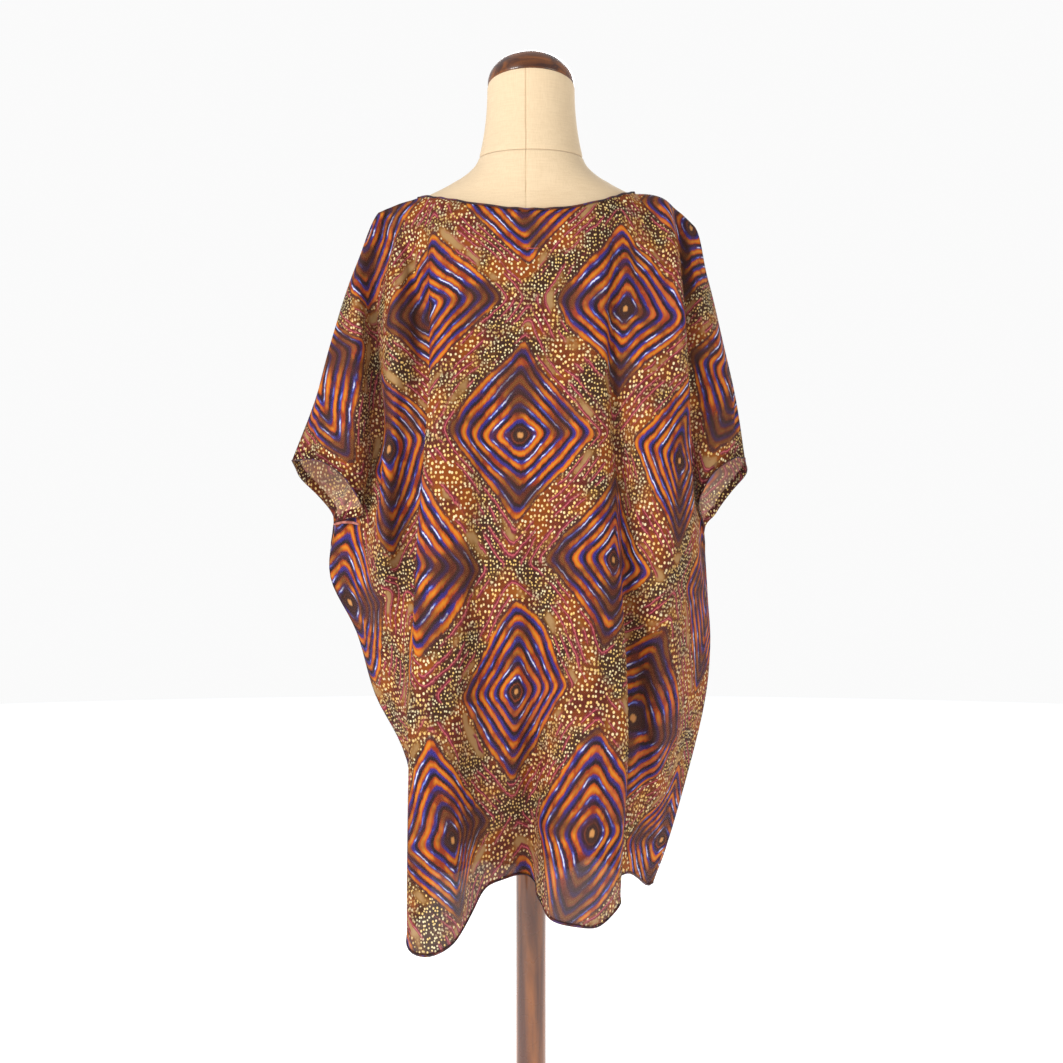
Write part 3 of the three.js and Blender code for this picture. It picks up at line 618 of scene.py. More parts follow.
def fold_line(knots, share):
    """A point of a ridge or valley. At its top the line leaves the shoulder level and rounds over."""
    point = curve(knots, share)
    t = min(1.0, share * (len(knots) - 1))
    rounding = (LEFT if knots[0].x < 0 else RIGHT)["rounding"]
    for axis, power, settled in ((0, rounding, t * t), (1, SHOULDER_ROUNDING, 1 - (1 - t) * (1 - t))):
        rounded = knots[0][axis] + (knots[1][axis] - knots[0][axis]) * t**power
        point[axis] = rounded + (point[axis] - rounded) * settled
    return point


def is_sewn(row, column, columns):
    """Whether a point of a panel's edge is sewn to the other panel."""
    from_side = min(column, columns - column)
    shoulder = row == 0 and from_side <= CORNER_COLUMN
    side_seam = row == ROWS_DOWN and UNDERARM_COLUMN <= from_side <= CORNER_COLUMN
    return shoulder or from_side == 0 or side_seam


def hung_panel(lines, side):
    """The panel's outside as it hangs: points[row][column], row 0 at the shoulder and neck edge."""
    knots = []
    for top, *between, end in lines:
        first, last = upper_edge(top, side), Vector(end)
        heights = [first.z + (last.z - first.z) * quarter / 4 for quarter in (1, 2, 3)]
        knots.append([first, *[Vector((x, y, z)) for (x, y), z in zip(between, heights)], last])
    columns = (len(lines) - 1) * STEPS_ACROSS
    points = []
    for row in range(ROWS_DOWN + 1):
        across = [fold_line(line, (row / ROWS_DOWN) ** ROW_BUNCHING) for line in knots]
        points.append([curve(across, column / columns) for column in range(columns + 1)])
    for column in range(columns + 1):
        line = min(column // STEPS_ACROSS, len(lines) - 2)
        t = column / STEPS_ACROSS - line
        points[0][column] = upper_edge(lines[line][0] + (lines[line + 1][0] - lines[line][0]) * t, side)
    for joins in (LEFT, RIGHT):
        seam = [Vector(joins[name]) for name in ("underarm", "seam1", "seam2", "seam3", "seam4", "corner")]
        steps = CORNER_COLUMN - UNDERARM_COLUMN
        for step in range(steps + 1):
            column = UNDERARM_COLUMN + step
            column = column if joins is LEFT else columns - column
            points[ROWS_DOWN][column] = curve(seam, step / steps)
    for row, across in enumerate(points):
        for column, point in enumerate(across):
            if not is_sewn(row, column, columns):
                clear_of_form(point, side)
    return points


LAYING_ROUNDS = 14
SOLVER_STEPS = 260  # in each round
LEAST_UPRIGHT = 0.2  # no cell is laid out slimmer than this share of its height
FIRST_WIDTH = 0.8  # the share of its width at which the panel is first laid out


def flat_cut(points, side):
    """Where each point lies in the flat cut, in metres: across from the centre and down from the shoulders.
    The hung panel is laid flat with as little stretch as it can be. Each small cell of it is turned as it
    lies best, then all the points are moved to suit the cells, several times over."""
    hung = numpy.array([[tuple(point) for point in across] for across in points]) / 1000
    beside, down = numpy.diff(hung, axis=1), numpy.diff(hung, axis=0)
    wide, tall = (beside[1:] + beside[:-1]) / 2, (down[:, 1:] + down[:, :-1]) / 2
    width, height = numpy.linalg.norm(wide, axis=2), numpy.linalg.norm(tall, axis=2)
    lean = (wide * tall).sum(axis=2) / width
    upright = numpy.sqrt(numpy.maximum(height**2 - lean**2, (LEAST_UPRIGHT * height) ** 2))

    def on_edges(cells, axis):
        """The mean of the cells on both sides of each edge."""
        ends = [(1, 1) if at == axis else (0, 0) for at in range(cells.ndim)]
        padded = numpy.pad(cells, ends, mode="edge")
        return (padded[1:] + padded[:-1]) / 2 if axis == 0 else (padded[:, 1:] + padded[:, :-1]) / 2

    across_pull = on_edges(height / width, 0)[..., None]
    down_pull = on_edges(width / height, 1)[..., None]

    def gathered(across_edges, down_edges):
        """The sum at each point of what its edges pull with."""
        result = numpy.zeros(hung.shape[:2] + (2,))
        result[:, 1:] += across_edges
        result[:, :-1] -= across_edges
        result[1:] += down_edges
        result[:-1] -= down_edges
        return result

    def pulled(place):
        return gathered(across_pull * numpy.diff(place, axis=1), down_pull * numpy.diff(place, axis=0))

    centre = int(numpy.argmin(abs(hung[0, :, 0])))
    gone_across = numpy.cumsum(numpy.linalg.norm(beside, axis=2).mean(axis=0) * FIRST_WIDTH)
    gone_down = numpy.cumsum(numpy.linalg.norm(down, axis=2), axis=0)
    flat = numpy.zeros(hung.shape[:2] + (2,))
    flat[:, 1:, 0] = gone_across
    flat[..., 0] -= flat[0, centre, 0]
    flat[1:, :, 1] = gone_down
    for _ in range(LAYING_ROUNDS):
        beside, down = numpy.diff(flat, axis=1), numpy.diff(flat, axis=0)
        wide, tall = (beside[1:] + beside[:-1]) / 2, (down[:, 1:] + down[:, :-1]) / 2
        along = width * wide[..., 0] + lean * tall[..., 0] + upright * tall[..., 1]
        aside = width * wide[..., 1] + lean * tall[..., 1] - upright * tall[..., 0]
        turn = numpy.hypot(along, aside)
        cos, sin = along / turn, aside / turn
        wide = numpy.stack((cos * width, sin * width), axis=2)
        tall = numpy.stack((cos * lean - sin * upright, sin * lean + cos * upright), axis=2)
        wanted = gathered(across_pull * on_edges(wide, 0), down_pull * on_edges(tall, 1))
        rest = wanted - pulled(flat)
        step, size = rest.copy(), (rest * rest).sum()
        for _ in range(SOLVER_STEPS):
            pull = pulled(step)
            share = size / (step * pull).sum()
            flat += share * step
            rest -= share * pull
            size, last = (rest * rest).sum(), size
            step = rest + size / last * step
    flat -= flat[0, centre]
    flat[..., 1] += neck_dip(0, side) * NECK_DROP[side] / 1000
    return [[Vector(place) for place in across] for across in flat.tolist()]


# Small creases between the fold lines. Each runs between two places of the flat cut, across and down, and
# bows to one side. It has a half width and a height: a soft ridge, or below 0 a trough.
BACK_CREASES = [
    ((-177, 21), (-253, 139), 6, 7, -3.4),  # left shoulder and sleeve
    ((-186, 25), (-337, 218), -8, 9, 4.2),
    ((-206, 37), (-367, 213), 5, 6, -2.8),
    ((-154, 42), (-183, 173), 4, 8, -3.6),
    ((-136, 43), (-151, 119), -3, 7, 2.2),
    ((-324, 198), (-361, 274), 3, 6, 2.8),
    ((-351, 169), (-401, 230), -4, 8, -3.1),
    ((166, 18), (181, 168), -5, 7, -3.5),  # right shoulder and sleeve
    ((183, 37), (299, 197), 6, 8, 3.6),
    ((142, 18), (139, 163), -4, 8, -3.1),
    ((236, 26), (340, 222), -5, 6, -2.8),
    ((118, 31), (98, 125), 4, 6, 2.0),
    ((359, 154), (369, 247), 3, 7, -2.5),
    ((-97, 64), (-60, 182), 5, 9, -2.0),  # between the shoulders
    ((-71, 73), (-19, 312), 10, 14, 2.5),
    ((65, 70), (47, 323), -12, 12, -2.8),
    ((3, 183), (25, 456), 6, 10, 2.0),
    ((-304, 312), (-179, 304), 4, 6, 2.5),  # drawn in under the arms
    ((-301, 338), (-214, 347), -3, 5, -2.0),
    ((249, 312), (175, 311), -4, 6, 2.2),
    ((-73, 350), (-111, 652), 8, 10, -4.2),  # left lobe
    ((-166, 443), (-139, 715), -5, 8, 3.4),
    ((-45, 499), (-73, 791), 6, 8, 3.9),
    ((-138, 671), (-150, 848), 4, 6, 2.8),
    ((-140, 605), (-164, 798), -3, 5, -2.5),
    ((1, 430), (-25, 733), -6, 9, -3.4),  # right lobe
    ((51, 397), (93, 674), 7, 8, 3.4),
    ((102, 478), (162, 796), -8, 8, -3.9),
    ((101, 654), (142, 840), 3, 6, 2.8),
    ((212, 522), (303, 709), -5, 8, -3.9),  # sides
    ((220, 456), (336, 650), 5, 8, 3.4),
    ((-248, 417), (-326, 583), 5, 7, -3.9),
    ((-331, 412), (-334, 534), -4, 6, 2.5),
]


HEM_RIPPLE = 1.1  # the height of the ripple along the hem and the cuffs
HEM_RIPPLE_REACH = 22  # and how far from them it dies out
NECK_RIPPLE = 0.4
NECK_RIPPLE_REACH = 14
SEAM_CALM = 14  # nearer to a seam than this, creases and ripples die out


def to_edges(flat, row, column):
    """How far a point lies from the panel's upper edge, its lower edge and its outer side, in metres."""
    across = flat[row]
    outer = across[0] if 2 * column < len(across) - 1 else across[-1]
    return [(across[column] - edge).length for edge in (flat[0][column], flat[-1][column], outer)]


def uneven_wave(along, pitch, wander, wander_pitch):
    """A wave along an edge, from -1 to 1, whose pitch changes from place to place."""
    return math.sin(along / pitch + wander * math.sin(along / wander_pitch))


def creased(points, flat, side, creases):
    """The hung panel with its creases, and with a slight ripple along its free edges."""
    rows, columns = len(points) - 1, len(points[0]) - 1
    lift = [[0.0] * (columns + 1) for _ in points]
    for start, end, bow, half_width, height in creases:
        begin, way = Vector(start) / 1000, Vector(end) / 1000 - Vector(start) / 1000
        for row, across in enumerate(flat):
            for column, place in enumerate(across):
                gone = (place - begin).dot(way) / way.length_squared
                if 0 < gone < 1:
                    arch = math.sin(math.pi * gone)
                    away = (place - begin).cross(way) / way.length * 1000 - bow * arch
                    lift[row][column] += height * arch**0.6 * math.exp(-((away / half_width) ** 2))
    result = []
    for row, across in enumerate(points):
        result.append([])
        for column, point in enumerate(across):
            from_side = min(column, columns - column)
            above, below, outer = (distance * 1000 for distance in to_edges(flat, row, column))
            along = flat[row][column].x * 1000 if from_side > CORNER_COLUMN else flat[row][column].y * 1000
            wave = uneven_wave(along, 8.5, 2.2, 37)
            ripple = HEM_RIPPLE * wave * math.exp(-below / HEM_RIPPLE_REACH)
            sewn = [outer]
            if from_side > CORNER_COLUMN:
                wave = 1 + uneven_wave(along, 5, 2, 19)
                ripple += NECK_RIPPLE * wave * math.exp(-above / NECK_RIPPLE_REACH)
            else:
                sewn.append(above)
            if UNDERARM_COLUMN <= from_side <= CORNER_COLUMN:
                sewn.append(below)
            free = min(1.0, min(sewn) / SEAM_CALM)
            beside = across[min(column + 1, columns)] - across[max(column - 1, 0)]
            down = points[min(row + 1, rows)][column] - points[max(row - 1, 0)][column]
            normal = (beside.cross(down) * side).normalized()
            moved = point + normal * (lift[row][column] + ripple) * free
            result[row].append(moved if is_sewn(row, column, columns) else clear_of_form(moved, side))
    return result


back_points = hung_panel(BACK_LINES, -1)
back_flat = flat_cut(back_points, -1)
back_points = creased(back_points, back_flat, -1, BACK_CREASES)

FAR = 1.0  # stands for a point that has no such edge near it, in metres
EDGE_DISTANCES = ("from_hem", "from_armhole", "from_seam")


def cloth_panel(name, points, flat, side, *finishes):
    """The hung panel as a thin shell. Each point keeps its place in the flat cut, for the print, and how far
    it is from the neck's or the bottom's hem, from the armhole's hem and from the nearest seam."""
    rows, columns = len(points) - 1, len(points[0]) - 1
    bm = bmesh.new()
    bmesh.ops.create_grid(bm, x_segments=columns, y_segments=rows, size=1)
    uv = bm.loops.layers.uv.new("flat_cut")
    edges = {key: bm.verts.layers.float.new(key) for key in EDGE_DISTANCES}
    place = {v: (round((1 - v.co.y) / 2 * rows), round((v.co.x + 1) / 2 * columns)) for v in bm.verts}
    for vert, (row, column) in place.items():
        from_side = min(column, columns - column)
        above, below, outer = to_edges(flat, row, column)
        vert[edges["from_hem"]] = min(below, above) if from_side >= CORNER_COLUMN else FAR
        vert[edges["from_armhole"]] = below if from_side <= UNDERARM_COLUMN else FAR
        shoulder = above if from_side <= CORNER_COLUMN else FAR
        side_seam = below if UNDERARM_COLUMN <= from_side <= CORNER_COLUMN else FAR
        vert[edges["from_seam"]] = min(shoulder, side_seam, outer)
        vert.co = points[row][column] / 1000
        if is_sewn(row, column, columns):
            vert.co.y += side * SEAM_PARTING / 1000
    for face in bm.faces:
        for loop in face.loops:
            row, column = place[loop.vert]
            loop[uv].uv = flat[row][column]
    if side > 0:
        bmesh.ops.reverse_faces(bm, faces=bm.faces[:])
    panel = new_piece(name, bm, *finishes, sharp=math.pi)
    wall = panel.modifiers.new("wall", "SOLIDIFY")
    wall.thickness = CLOTH_WALL / 1000
    wall.offset = -1
    wall.material_offset = 1
    wall.material_offset_rim = 0
    return panel


# The print's measures on the flat cut, in metres.
LOZENGE_WIDE = 0.236  # from one lozenge to the next
LOZENGE_TALL = 0.302
SEEDS = ((0.0049, 0.0, 0.2), (0.0038, 5.0, 0.19))  # spacing, a shift of the pattern, the seed's share of it
ARMHOLE_TURN = 0.011  # how far the cloth is turned in at the armholes
HEM_TURN = 0.004  # and at the neck and the bottom
TURN_SOFT = 0.0002  # half the width of the soft step there

# Its rings, as shares of the way from a lozenge's middle to the next one's.
RING_PITCH = 0.0625
LOZENGE_EDGE = 0.352
STROKES = ((0.38, 45.0), (0.425, 47.0), (0.47, 46.0))  # where a stroke lies, and the seed of its gaps


def printed_cloth(name, inside=False):
    """Thin crepe printed on one side in the way of tie-dye: soft lozenges, ringed in orange and navy round a
    dark middle, on a brown ground sown with small cream seeds. The wrong side is mixed a little paler,
    partly as its own paler print and partly as painted light, and it glows faintly with painted light that
    stands in for daylight through the cloth. Both sides are mixed darker where the hem is turned in, partly
    as doubled cloth and partly as painted shade."""
    cloth = Finish(name)
    flat = cloth.node("ShaderNodeUVMap", {"uv_map": "flat_cut"})
    u = cloth.node("ShaderNodeSeparateXYZ", {}, {"Vector": flat})
    v = u.part("Y")

    def noise(across, down, detail=2.0, seed=0.0):
        return cloth.noise(cloth.vector(u * across, v * down, seed), 1.0, detail)

    # Dye creeps along bundles of thread and feathers each edge, and the folded cloth lay a little askew.
    creep = (noise(420, 40, 1.0) - 0.5) * 0.0035 + (noise(50, 30, 1.0, 3.0) - 0.5) * 0.006
    askew_u = (noise(5, 5, 1.0, 7.0) - 0.5) * 0.07
    askew_v = (noise(5, 5, 1.0, 9.0) - 0.5) * 0.07
    along_u = (u + askew_u) / LOZENGE_WIDE
    along_v = (v + creep + askew_v) / LOZENGE_TALL
    p, q = along_u + along_v, along_u - along_v
    p, q = abs(p - p.nearest()), abs(q - q.nearest())
    ring = cloth.node("ShaderNodeMath", {"operation": "SMOOTH_MAX"}, {0: p, 1: q, 2: 0.07}) - 0.008
    beside = abs(p - q) / (p.higher(q) + 0.02)

    # The rings. Each navy one is nearly black on its inner side, with a streak of sky blue on its outer.
    phase = ring / RING_PITCH + 0.1 + (noise(16, 16, 1.0, 5.0) - 0.5) * 0.5
    across = phase - phase.nearest()
    width = 0.21 + 0.12 * noise(18, 18, 2.0, 6.0)
    soft = noise(60, 34, 3.0, 11.0)
    orange = cloth.mixed(soft.rising(0.35, 0.66), shade(204, 88, 10), shade(146, 48, 16))
    gilt = abs(across).rising(0.3, 0.48) * soft.rising(0.66, 0.44)
    orange = cloth.mixed(gilt * 0.85, orange, shade(216, 140, 34))
    rose = noise(12, 12, 2.0, 15.0).rising(0.5, 0.66)
    orange = cloth.mixed(rose * 0.5, orange, shade(180, 80, 52))
    navy = cloth.mixed(across.rising(-0.12, 0.1), shade(22, 14, 24), shade(44, 40, 126))
    streak = abs(across - 0.13).rising(0.1, 0.03) * noise(30, 30, 2.0, 17.0).rising(0.46, 0.6)
    streak = streak * beside.rising(0.05, 0.3)
    navy = cloth.mixed(streak.rising(0.0, 0.7) * 0.9, navy, shade(112, 134, 220))
    navy = cloth.mixed(streak.rising(0.6, 1.0), navy, shade(226, 232, 250))
    plum = noise(30, 60, 2.0, 13.0).rising(0.5, 0.66)
    navy = cloth.mixed(plum * 0.75, navy, shade(78, 28, 54))
    bands = cloth.mixed((abs(across) - width).rising(0.07, -0.08), orange, navy)
    smudge = noise(14, 14, 3.0, 19.0).rising(0.45, 0.56) * beside.rising(0.95, 0.3)
    bands = cloth.mixed(smudge * 0.78, bands, shade(58, 31, 27))
    bands = cloth.mixed(ring.rising(0.05, 0.03), bands, shade(52, 28, 26))
    bands = cloth.mixed(ring.rising(0.02, 0.01), bands, shade(206, 146, 84))

    # The ground. The seeds are fine and crowded on its dark places, and larger on the light ones.
    dark = noise(17, 17, 2.0, 31.0).rising(0.44, 0.6)
    rust = noise(24, 24, 2.0, 33.0).rising(0.4, 0.62)
    ground = cloth.mixed(rust, shade(140, 66, 8), shade(92, 24, 14))
    ground = cloth.mixed(dark * 0.9, ground, shade(44, 25, 14))
    sown = []
    for size, shift, share in SEEDS:
        place = cloth.vector(u / size + shift, v / (size * 1.25))
        scatter = {"Vector": place, "Scale": 1.0, "Randomness": 0.7}
        cell = cloth.node("ShaderNodeTexVoronoi", {"voronoi_dimensions": "2D"}, scatter)
        tone = cloth.grey(cell.part("Color"))
        reach = share + 0.1 * tone
        sown.append((cell - reach).rising(0.05, -0.05) * (0.8 + 0.2 * tone))
    seeds = sown[0] + (sown[1] - sown[0]) * dark
    yellowed = noise(80, 80, 1.0, 43.0).rising(0.36, 0.6)
    cream = cloth.mixed(yellowed, shade(255, 244, 196), shade(255, 218, 132))

    # A smoky bloom lies beside some of the lozenges, bare of seeds in its middle.
    bloom = noise(22, 22, 2.0, 37.0).rising(0.47, 0.68) * abs(ring - 0.4).rising(0.05, 0.01)
    ground = cloth.mixed(bloom * 0.85, ground, shade(158, 100, 28))
    ground = cloth.mixed(bloom.rising(0.4, 1.0) * 0.7, ground, shade(178, 148, 102))
    ground = cloth.mixed(seeds * bloom.rising(0.8, 0.2), ground, cream)

    # Magenta strokes run beside the lozenges, each with a light edge.
    stray = (noise(26, 26, 2.0, 41.0) - 0.5) * 0.05
    for middle, seed in STROKES:
        stroke = ring - middle + stray
        drawn = noise(22, 22, 1.0, seed).rising(0.47, 0.56)
        body = abs(stroke).rising(0.013, 0.006) * drawn
        ground = cloth.mixed(body * 0.9, ground, shade(124, 22, 52))
        light_edge = abs(stroke + 0.003).rising(0.004, 0.001) * drawn
        ground = cloth.mixed(light_edge * 0.6, ground, shade(216, 112, 120))

    edge = ring - LOZENGE_EDGE + (soft - 0.5) * 0.02
    colour = cloth.mixed(edge.rising(-0.004, 0.005), bands, ground)
    outline = abs(edge).rising(0.011, 0.004) * soft.rising(0.36, 0.5)
    colour = cloth.mixed(outline * 0.8, colour, shade(60, 26, 36))

    # Where hems are turned in, both sides of the cloth are mixed darker, partly as doubled cloth and partly
    # as painted shade of the fold; seams are darker still.
    from_hem, from_armhole, from_seam = (
        cloth.node("ShaderNodeAttribute", {"attribute_name": key}, output=2) for key in EDGE_DISTANCES
    )
    turned_in = from_armhole.rising(ARMHOLE_TURN + TURN_SOFT, ARMHOLE_TURN - TURN_SOFT)
    turned_in = turned_in.higher(from_hem.rising(HEM_TURN + TURN_SOFT, HEM_TURN - TURN_SOFT))
    light = cloth.grey(colour)
    if inside:
        # The wrong side is mixed paler, partly its own paler print and partly painted light for daylight
        # through the cloth.
        colour = cloth.mixed((0.2 - 0.2 * light) * (1 - turned_in), colour, shade(232, 196, 174))
    # Painted shade, in part: the turned-in hem is mixed towards dark brown, on both sides of the cloth.
    colour = cloth.mixed((0.66 - 0.6 * light) * turned_in, colour, shade(52, 20, 17))
    colour = cloth.mixed(from_seam.rising(0.0016, 0.0006) * 0.6, colour, shade(44, 20, 20))

    weave = noise(1300, 1300, 1.0, 53.0)
    pucker = noise(90, 240, 2.0, 59.0)
    waves = noise(26, 8, 2.0, 61.0)
    relief = 0.25 * weave + 0.5 * pucker + 2.4 * waves + 1.2 * turned_in
    relief = relief - 2.0 * from_seam.rising(0.0022, 0.0004)
    light = cloth.grey(colour)
    if inside:
        # Painted light: the wrong side glows with its own colour, standing in for daylight that comes
        # through the cloth.
        own = {"Alpha": 0.86 - 0.04 * light, "Emission_Color": colour, "Emission_Strength": 0.32}
    else:
        own = {"Alpha": 0.77 - 0.04 * light + 0.18 * turned_in}
    return cloth.done(
        Base_Color=colour,
        Roughness=0.62 + 0.16 * weave,
        Specular_IOR_Level=0.12,
        Normal=cloth.bump(relief, 0.5, 0.0005),
        **own,
    )


right_side = printed_cloth("kaftan_print")
wrong_side = printed_cloth("kaftan_print_inside", inside=True)
back = cloth_panel("kaftan_back_panel", back_points, back_flat, -1, right_side, wrong_side)
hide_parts("kaftan_back")


# ------------------------------------------------------------------------------------ kaftan, front panel
# The front is the same cut with a deeper neck. It is sewn to the back along the shoulders and sleeve tops,
# and down the sides below the armholes.
FRONT_LINES = [
    (-182, (-213, -4), (-238, 0), (-259, 2), LEFT["cuff"]),  # left sleeve top
    (-177, (-207, 20), (-230, 30), (-250, 36), (-281, 30, 1068)),  # left sleeve fold
    (-172, (-206, 40), (-222, 60), (-236, 70), (-262, 52, 1047)),  # left sleeve ridge
    (-167, (-194, 44), (-202, 58), (-212, 62), (-242, 44, 1023)),  # left sleeve hollow
    (-162, (-186, 48), (-190, 52), (-198, 54), LEFT["underarm"]),
    (-157, (-180, 62), (-182, 72), (-190, 68), LEFT["seam1"]),  # left side back
    (-152, (-170, 76), (-172, 96), (-180, 86), LEFT["seam2"]),  # left side ridge
    (-147, (-156, 92), (-156, 104), (-161, 92), LEFT["seam3"]),  # left side face
    (-142, (-140, 94), (-136, 92), (-139, 82), LEFT["seam4"]),  # left side hollow
    (NECK_LEFT_X, (-122, 112), (-116, 104), (-112, 88), LEFT["corner"]),  # left fold back
    (-128, (-112, 128), (-116, 136), (-122, 148), (-126, 148, 570)),  # left fold
    (-108, (-82, 134), (-88, 150), (-94, 168), (-98, 170, 560)),  # left fold face
    (-76, (-54, 130), (-56, 136), (-60, 136), (-63, 122, 586)),  # left hollow by the centre
    (-40, (-27, 132), (-29, 144), (-32, 156), (-36, 155, 570)),  # left centre fold
    (0, (1, 130), (2, 140), (5, 136), (8, 128, 592)),  # centre hollow
    (40, (29, 132), (33, 144), (39, 160), (44, 163, 566)),  # right centre fold
    (72, (56, 128), (63, 138), (71, 132), (76, 116, 592)),  # right hollow by the centre
    (98, (84, 132), (95, 142), (105, 156), (109, 153, 568)),  # right fold face
    (114, (108, 122), (118, 130), (128, 128), (132, 112, 572)),  # right fold
    (NECK_RIGHT_X, (126, 112), (134, 100), (143, 86), RIGHT["corner"]),  # right fold back
    (134, (144, 100), (150, 102), (162, 86), RIGHT["seam4"]),  # right side face
    (142, (158, 88), (165, 92), (180, 78), RIGHT["seam3"]),  # right side ridge
    (150, (169, 72), (177, 76), (191, 64), RIGHT["seam2"]),  # right side fold
    (158, (175, 50), (181, 52), (194, 46), RIGHT["seam1"]),  # right side hollow
    (165, (180, 46), (188, 52), (200, 46), RIGHT["underarm"]),
    (172, (187, 48), (199, 60), (212, 56), (225, 42, 1024)),  # right sleeve hollow
    (178, (196, 40), (212, 54), (228, 56), (246, 48, 1052)),  # right sleeve ridge
    (184, (203, 20), (222, 28), (240, 34), (262, 28, 1074)),  # right sleeve fold
    (190, (213, -4), (230, -2), (246, 0), RIGHT["cuff"]),  # right sleeve top
]
FRONT_CREASES = [
    ((-200, 26), (-246, 178), 6, 7, -3.4),  # left shoulder and sleeve
    ((-178, 24), (-303, 242), -7, 9, 3.9),
    ((-159, 35), (-161, 222), 5, 8, -3.1),
    ((-143, 59), (-122, 174), -4, 7, 2.2),
    ((191, 21), (237, 184), -6, 7, -3.4),  # right shoulder and sleeve
    ((207, 45), (303, 245), 6, 8, 3.6),
    ((162, 29), (140, 181), -4, 8, -2.8),
    ((-80, 109), (-30, 335), 8, 12, 2.5),  # between the shoulders
    ((64, 114), (33, 300), -8, 11, -2.8),
    ((2, 159), (4, 434), 6, 10, 2.0),
    ((-297, 334), (-129, 321), 4, 6, 2.5),  # drawn in under the arms
    ((289, 353), (148, 320), -4, 6, 2.2),
    ((-77, 393), (-117, 714), 8, 9, -3.9),  # skirt
    ((-31, 477), (-52, 803), -6, 8, 3.4),
    ((5, 450), (29, 773), 6, 9, -3.4),
    ((44, 416), (86, 704), 7, 8, 3.1),
    ((90, 503), (154, 795), -8, 8, -3.9),
    ((-134, 588), (-119, 821), 4, 6, 2.8),
    ((-160, 511), (-185, 745), 5, 7, -3.4),  # sides
    ((168, 547), (227, 747), -5, 8, 3.4),
]
front_points = hung_panel(FRONT_LINES, 1)
front_flat = flat_cut(front_points, 1)
front_points = creased(front_points, front_flat, 1, FRONT_CREASES)
front = cloth_panel("kaftan_front_panel", front_points, front_flat, 1, right_side, wrong_side)
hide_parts("kaftan_front")


# ------------------------------------------------------------------------------------ rolled hems
# The neck edge, the bottom edges and the armholes are finished with a narrow hem, rolled and machine
# stitched. The cloth is doubled there, so it shows as a thin dark line.

BOTTOM_HEM_RADIUS = 1.0
ARMHOLE_HEM_RADIUS = 0.8
HEM_INSET = 0.12  # share of the last cell by which the roll lies above the very edge


def hem_cloth(name, dark, light, accent):
    """The doubled cloth of a hem, or sewing thread, in patches of dark, of light and of a third colour."""
    hem = Finish(name)
    place = hem.place()
    patches = hem.noise(place, 90.0, 2.0)
    threads = hem.noise(place, 1600.0, 1.0)
    colour = hem.mixed(patches.rising(0.42, 0.58), dark, light)
    colour = hem.mixed(patches.rising(0.6, 0.68) * 0.7, colour, accent)
    bump = hem.bump(threads + patches, 0.4, 0.0004)
    return hem.done(Base_Color=colour, Roughness=0.7 + 0.1 * threads, Sheen_Weight=0.1, Normal=bump)


hem_finish = hem_cloth("rolled_hem", shade(44, 24, 34), shade(98, 42, 26), shade(56, 46, 110))


def rolled_hem(name, path, radius, finish=hem_finish):
    """A thin roll of cloth along a panel's edge."""
    roll = bpy.data.curves.new(name, "CURVE")
    roll.dimensions = "3D"
    roll.bevel_depth = radius / 1000
    roll.bevel_resolution = 2
    roll.use_fill_caps = True
    spline = roll.splines.new("POLY")
    spline.points.add(len(path) - 1)
    for point, place in zip(spline.points, path):
        point.co = (*(place / 1000), 1)
    roll.materials.append(finish)
    piece = bpy.data.objects.new(name, roll)
    bpy.context.collection.objects.link(piece)
    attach(piece, "root")
    return piece


def edge_path(points, first, last):
    """The panel's lower edge between two columns."""
    return [points[-1][column].lerp(points[-2][column], HEM_INSET) for column in range(first, last + 1)]


for panel, points in (("back", back_points), ("front", front_points)):
    end = len(points[0]) - 1
    bottom = edge_path(points, CORNER_COLUMN, end - CORNER_COLUMN)
    left, right = edge_path(points, 0, UNDERARM_COLUMN), edge_path(points, end - UNDERARM_COLUMN, end)
    rolled_hem(f"bottom_hem_{panel}", bottom, BOTTOM_HEM_RADIUS)
    rolled_hem(f"armhole_hem_{panel}_left", left, ARMHOLE_HEM_RADIUS)
    rolled_hem(f"armhole_hem_{panel}_right", right, ARMHOLE_HEM_RADIUS)

# A label is tacked on inside the neck. Outside, its tacking shows as one row of small stitches, with a
# looser red thread at the middle.
STITCHES = 11
STITCH_PITCH = 3.6
STITCH_LONG = 2.5
STITCH_RADIUS = 0.22
FIRST_STITCH_X = -19
TACKING_Z = 1326
SEARCH_REACH = 14
SAME_FOLD = 8  # points this much further in than the outermost one lie in a fold behind it


def on_back(x, z, out):
    """A point at x and z that lies this far out from the outside of the back panel."""
    every = [point for across in back_points for point in across]
    near = [point for point in every if abs(point.x - x) + abs(point.z - z) < SEARCH_REACH]
    outermost = min(point.y for point in near)
    near = [point for point in near if point.y < outermost + SAME_FOLD]
    weights = [1 / (0.5 + (point.x - x) ** 2 + (point.z - z) ** 2) ** 2 for point in near]
    y = sum(point.y * share for point, share in zip(near, weights)) / sum(weights)
    return Vector((x, y, z)) + Vector((0, -out, 0))


thread = hem_cloth("label_thread", shade(70, 34, 26), shade(96, 46, 34), shade(120, 60, 44))
red_thread = hem_cloth("red_label_thread", shade(196, 74, 74), shade(224, 120, 112), shade(170, 50, 60))
for step in range(STITCHES):
    start = FIRST_STITCH_X + STITCH_PITCH * step
    dip = 0.5 * math.sin(1.7 * step)
    path = [
        on_back(start + STITCH_LONG * t, TACKING_Z + dip + 0.3 * t, 0.1 + 0.9 * t * (1 - t))
        for t in (0, 0.3, 0.7, 1)
    ]
    rolled_hem(f"label_stitch_{step}", path, STITCH_RADIUS, thread)
path = []
for t in (0, 0.2, 0.4, 0.6, 0.8, 1):
    sag = 1.6 * t * (1 - t)
    path.append(on_back(-5 + 13 * t, TACKING_Z + 0.4 - sag, 0.2 + sag))
rolled_hem("label_thread_end", path, 0.35, red_thread)

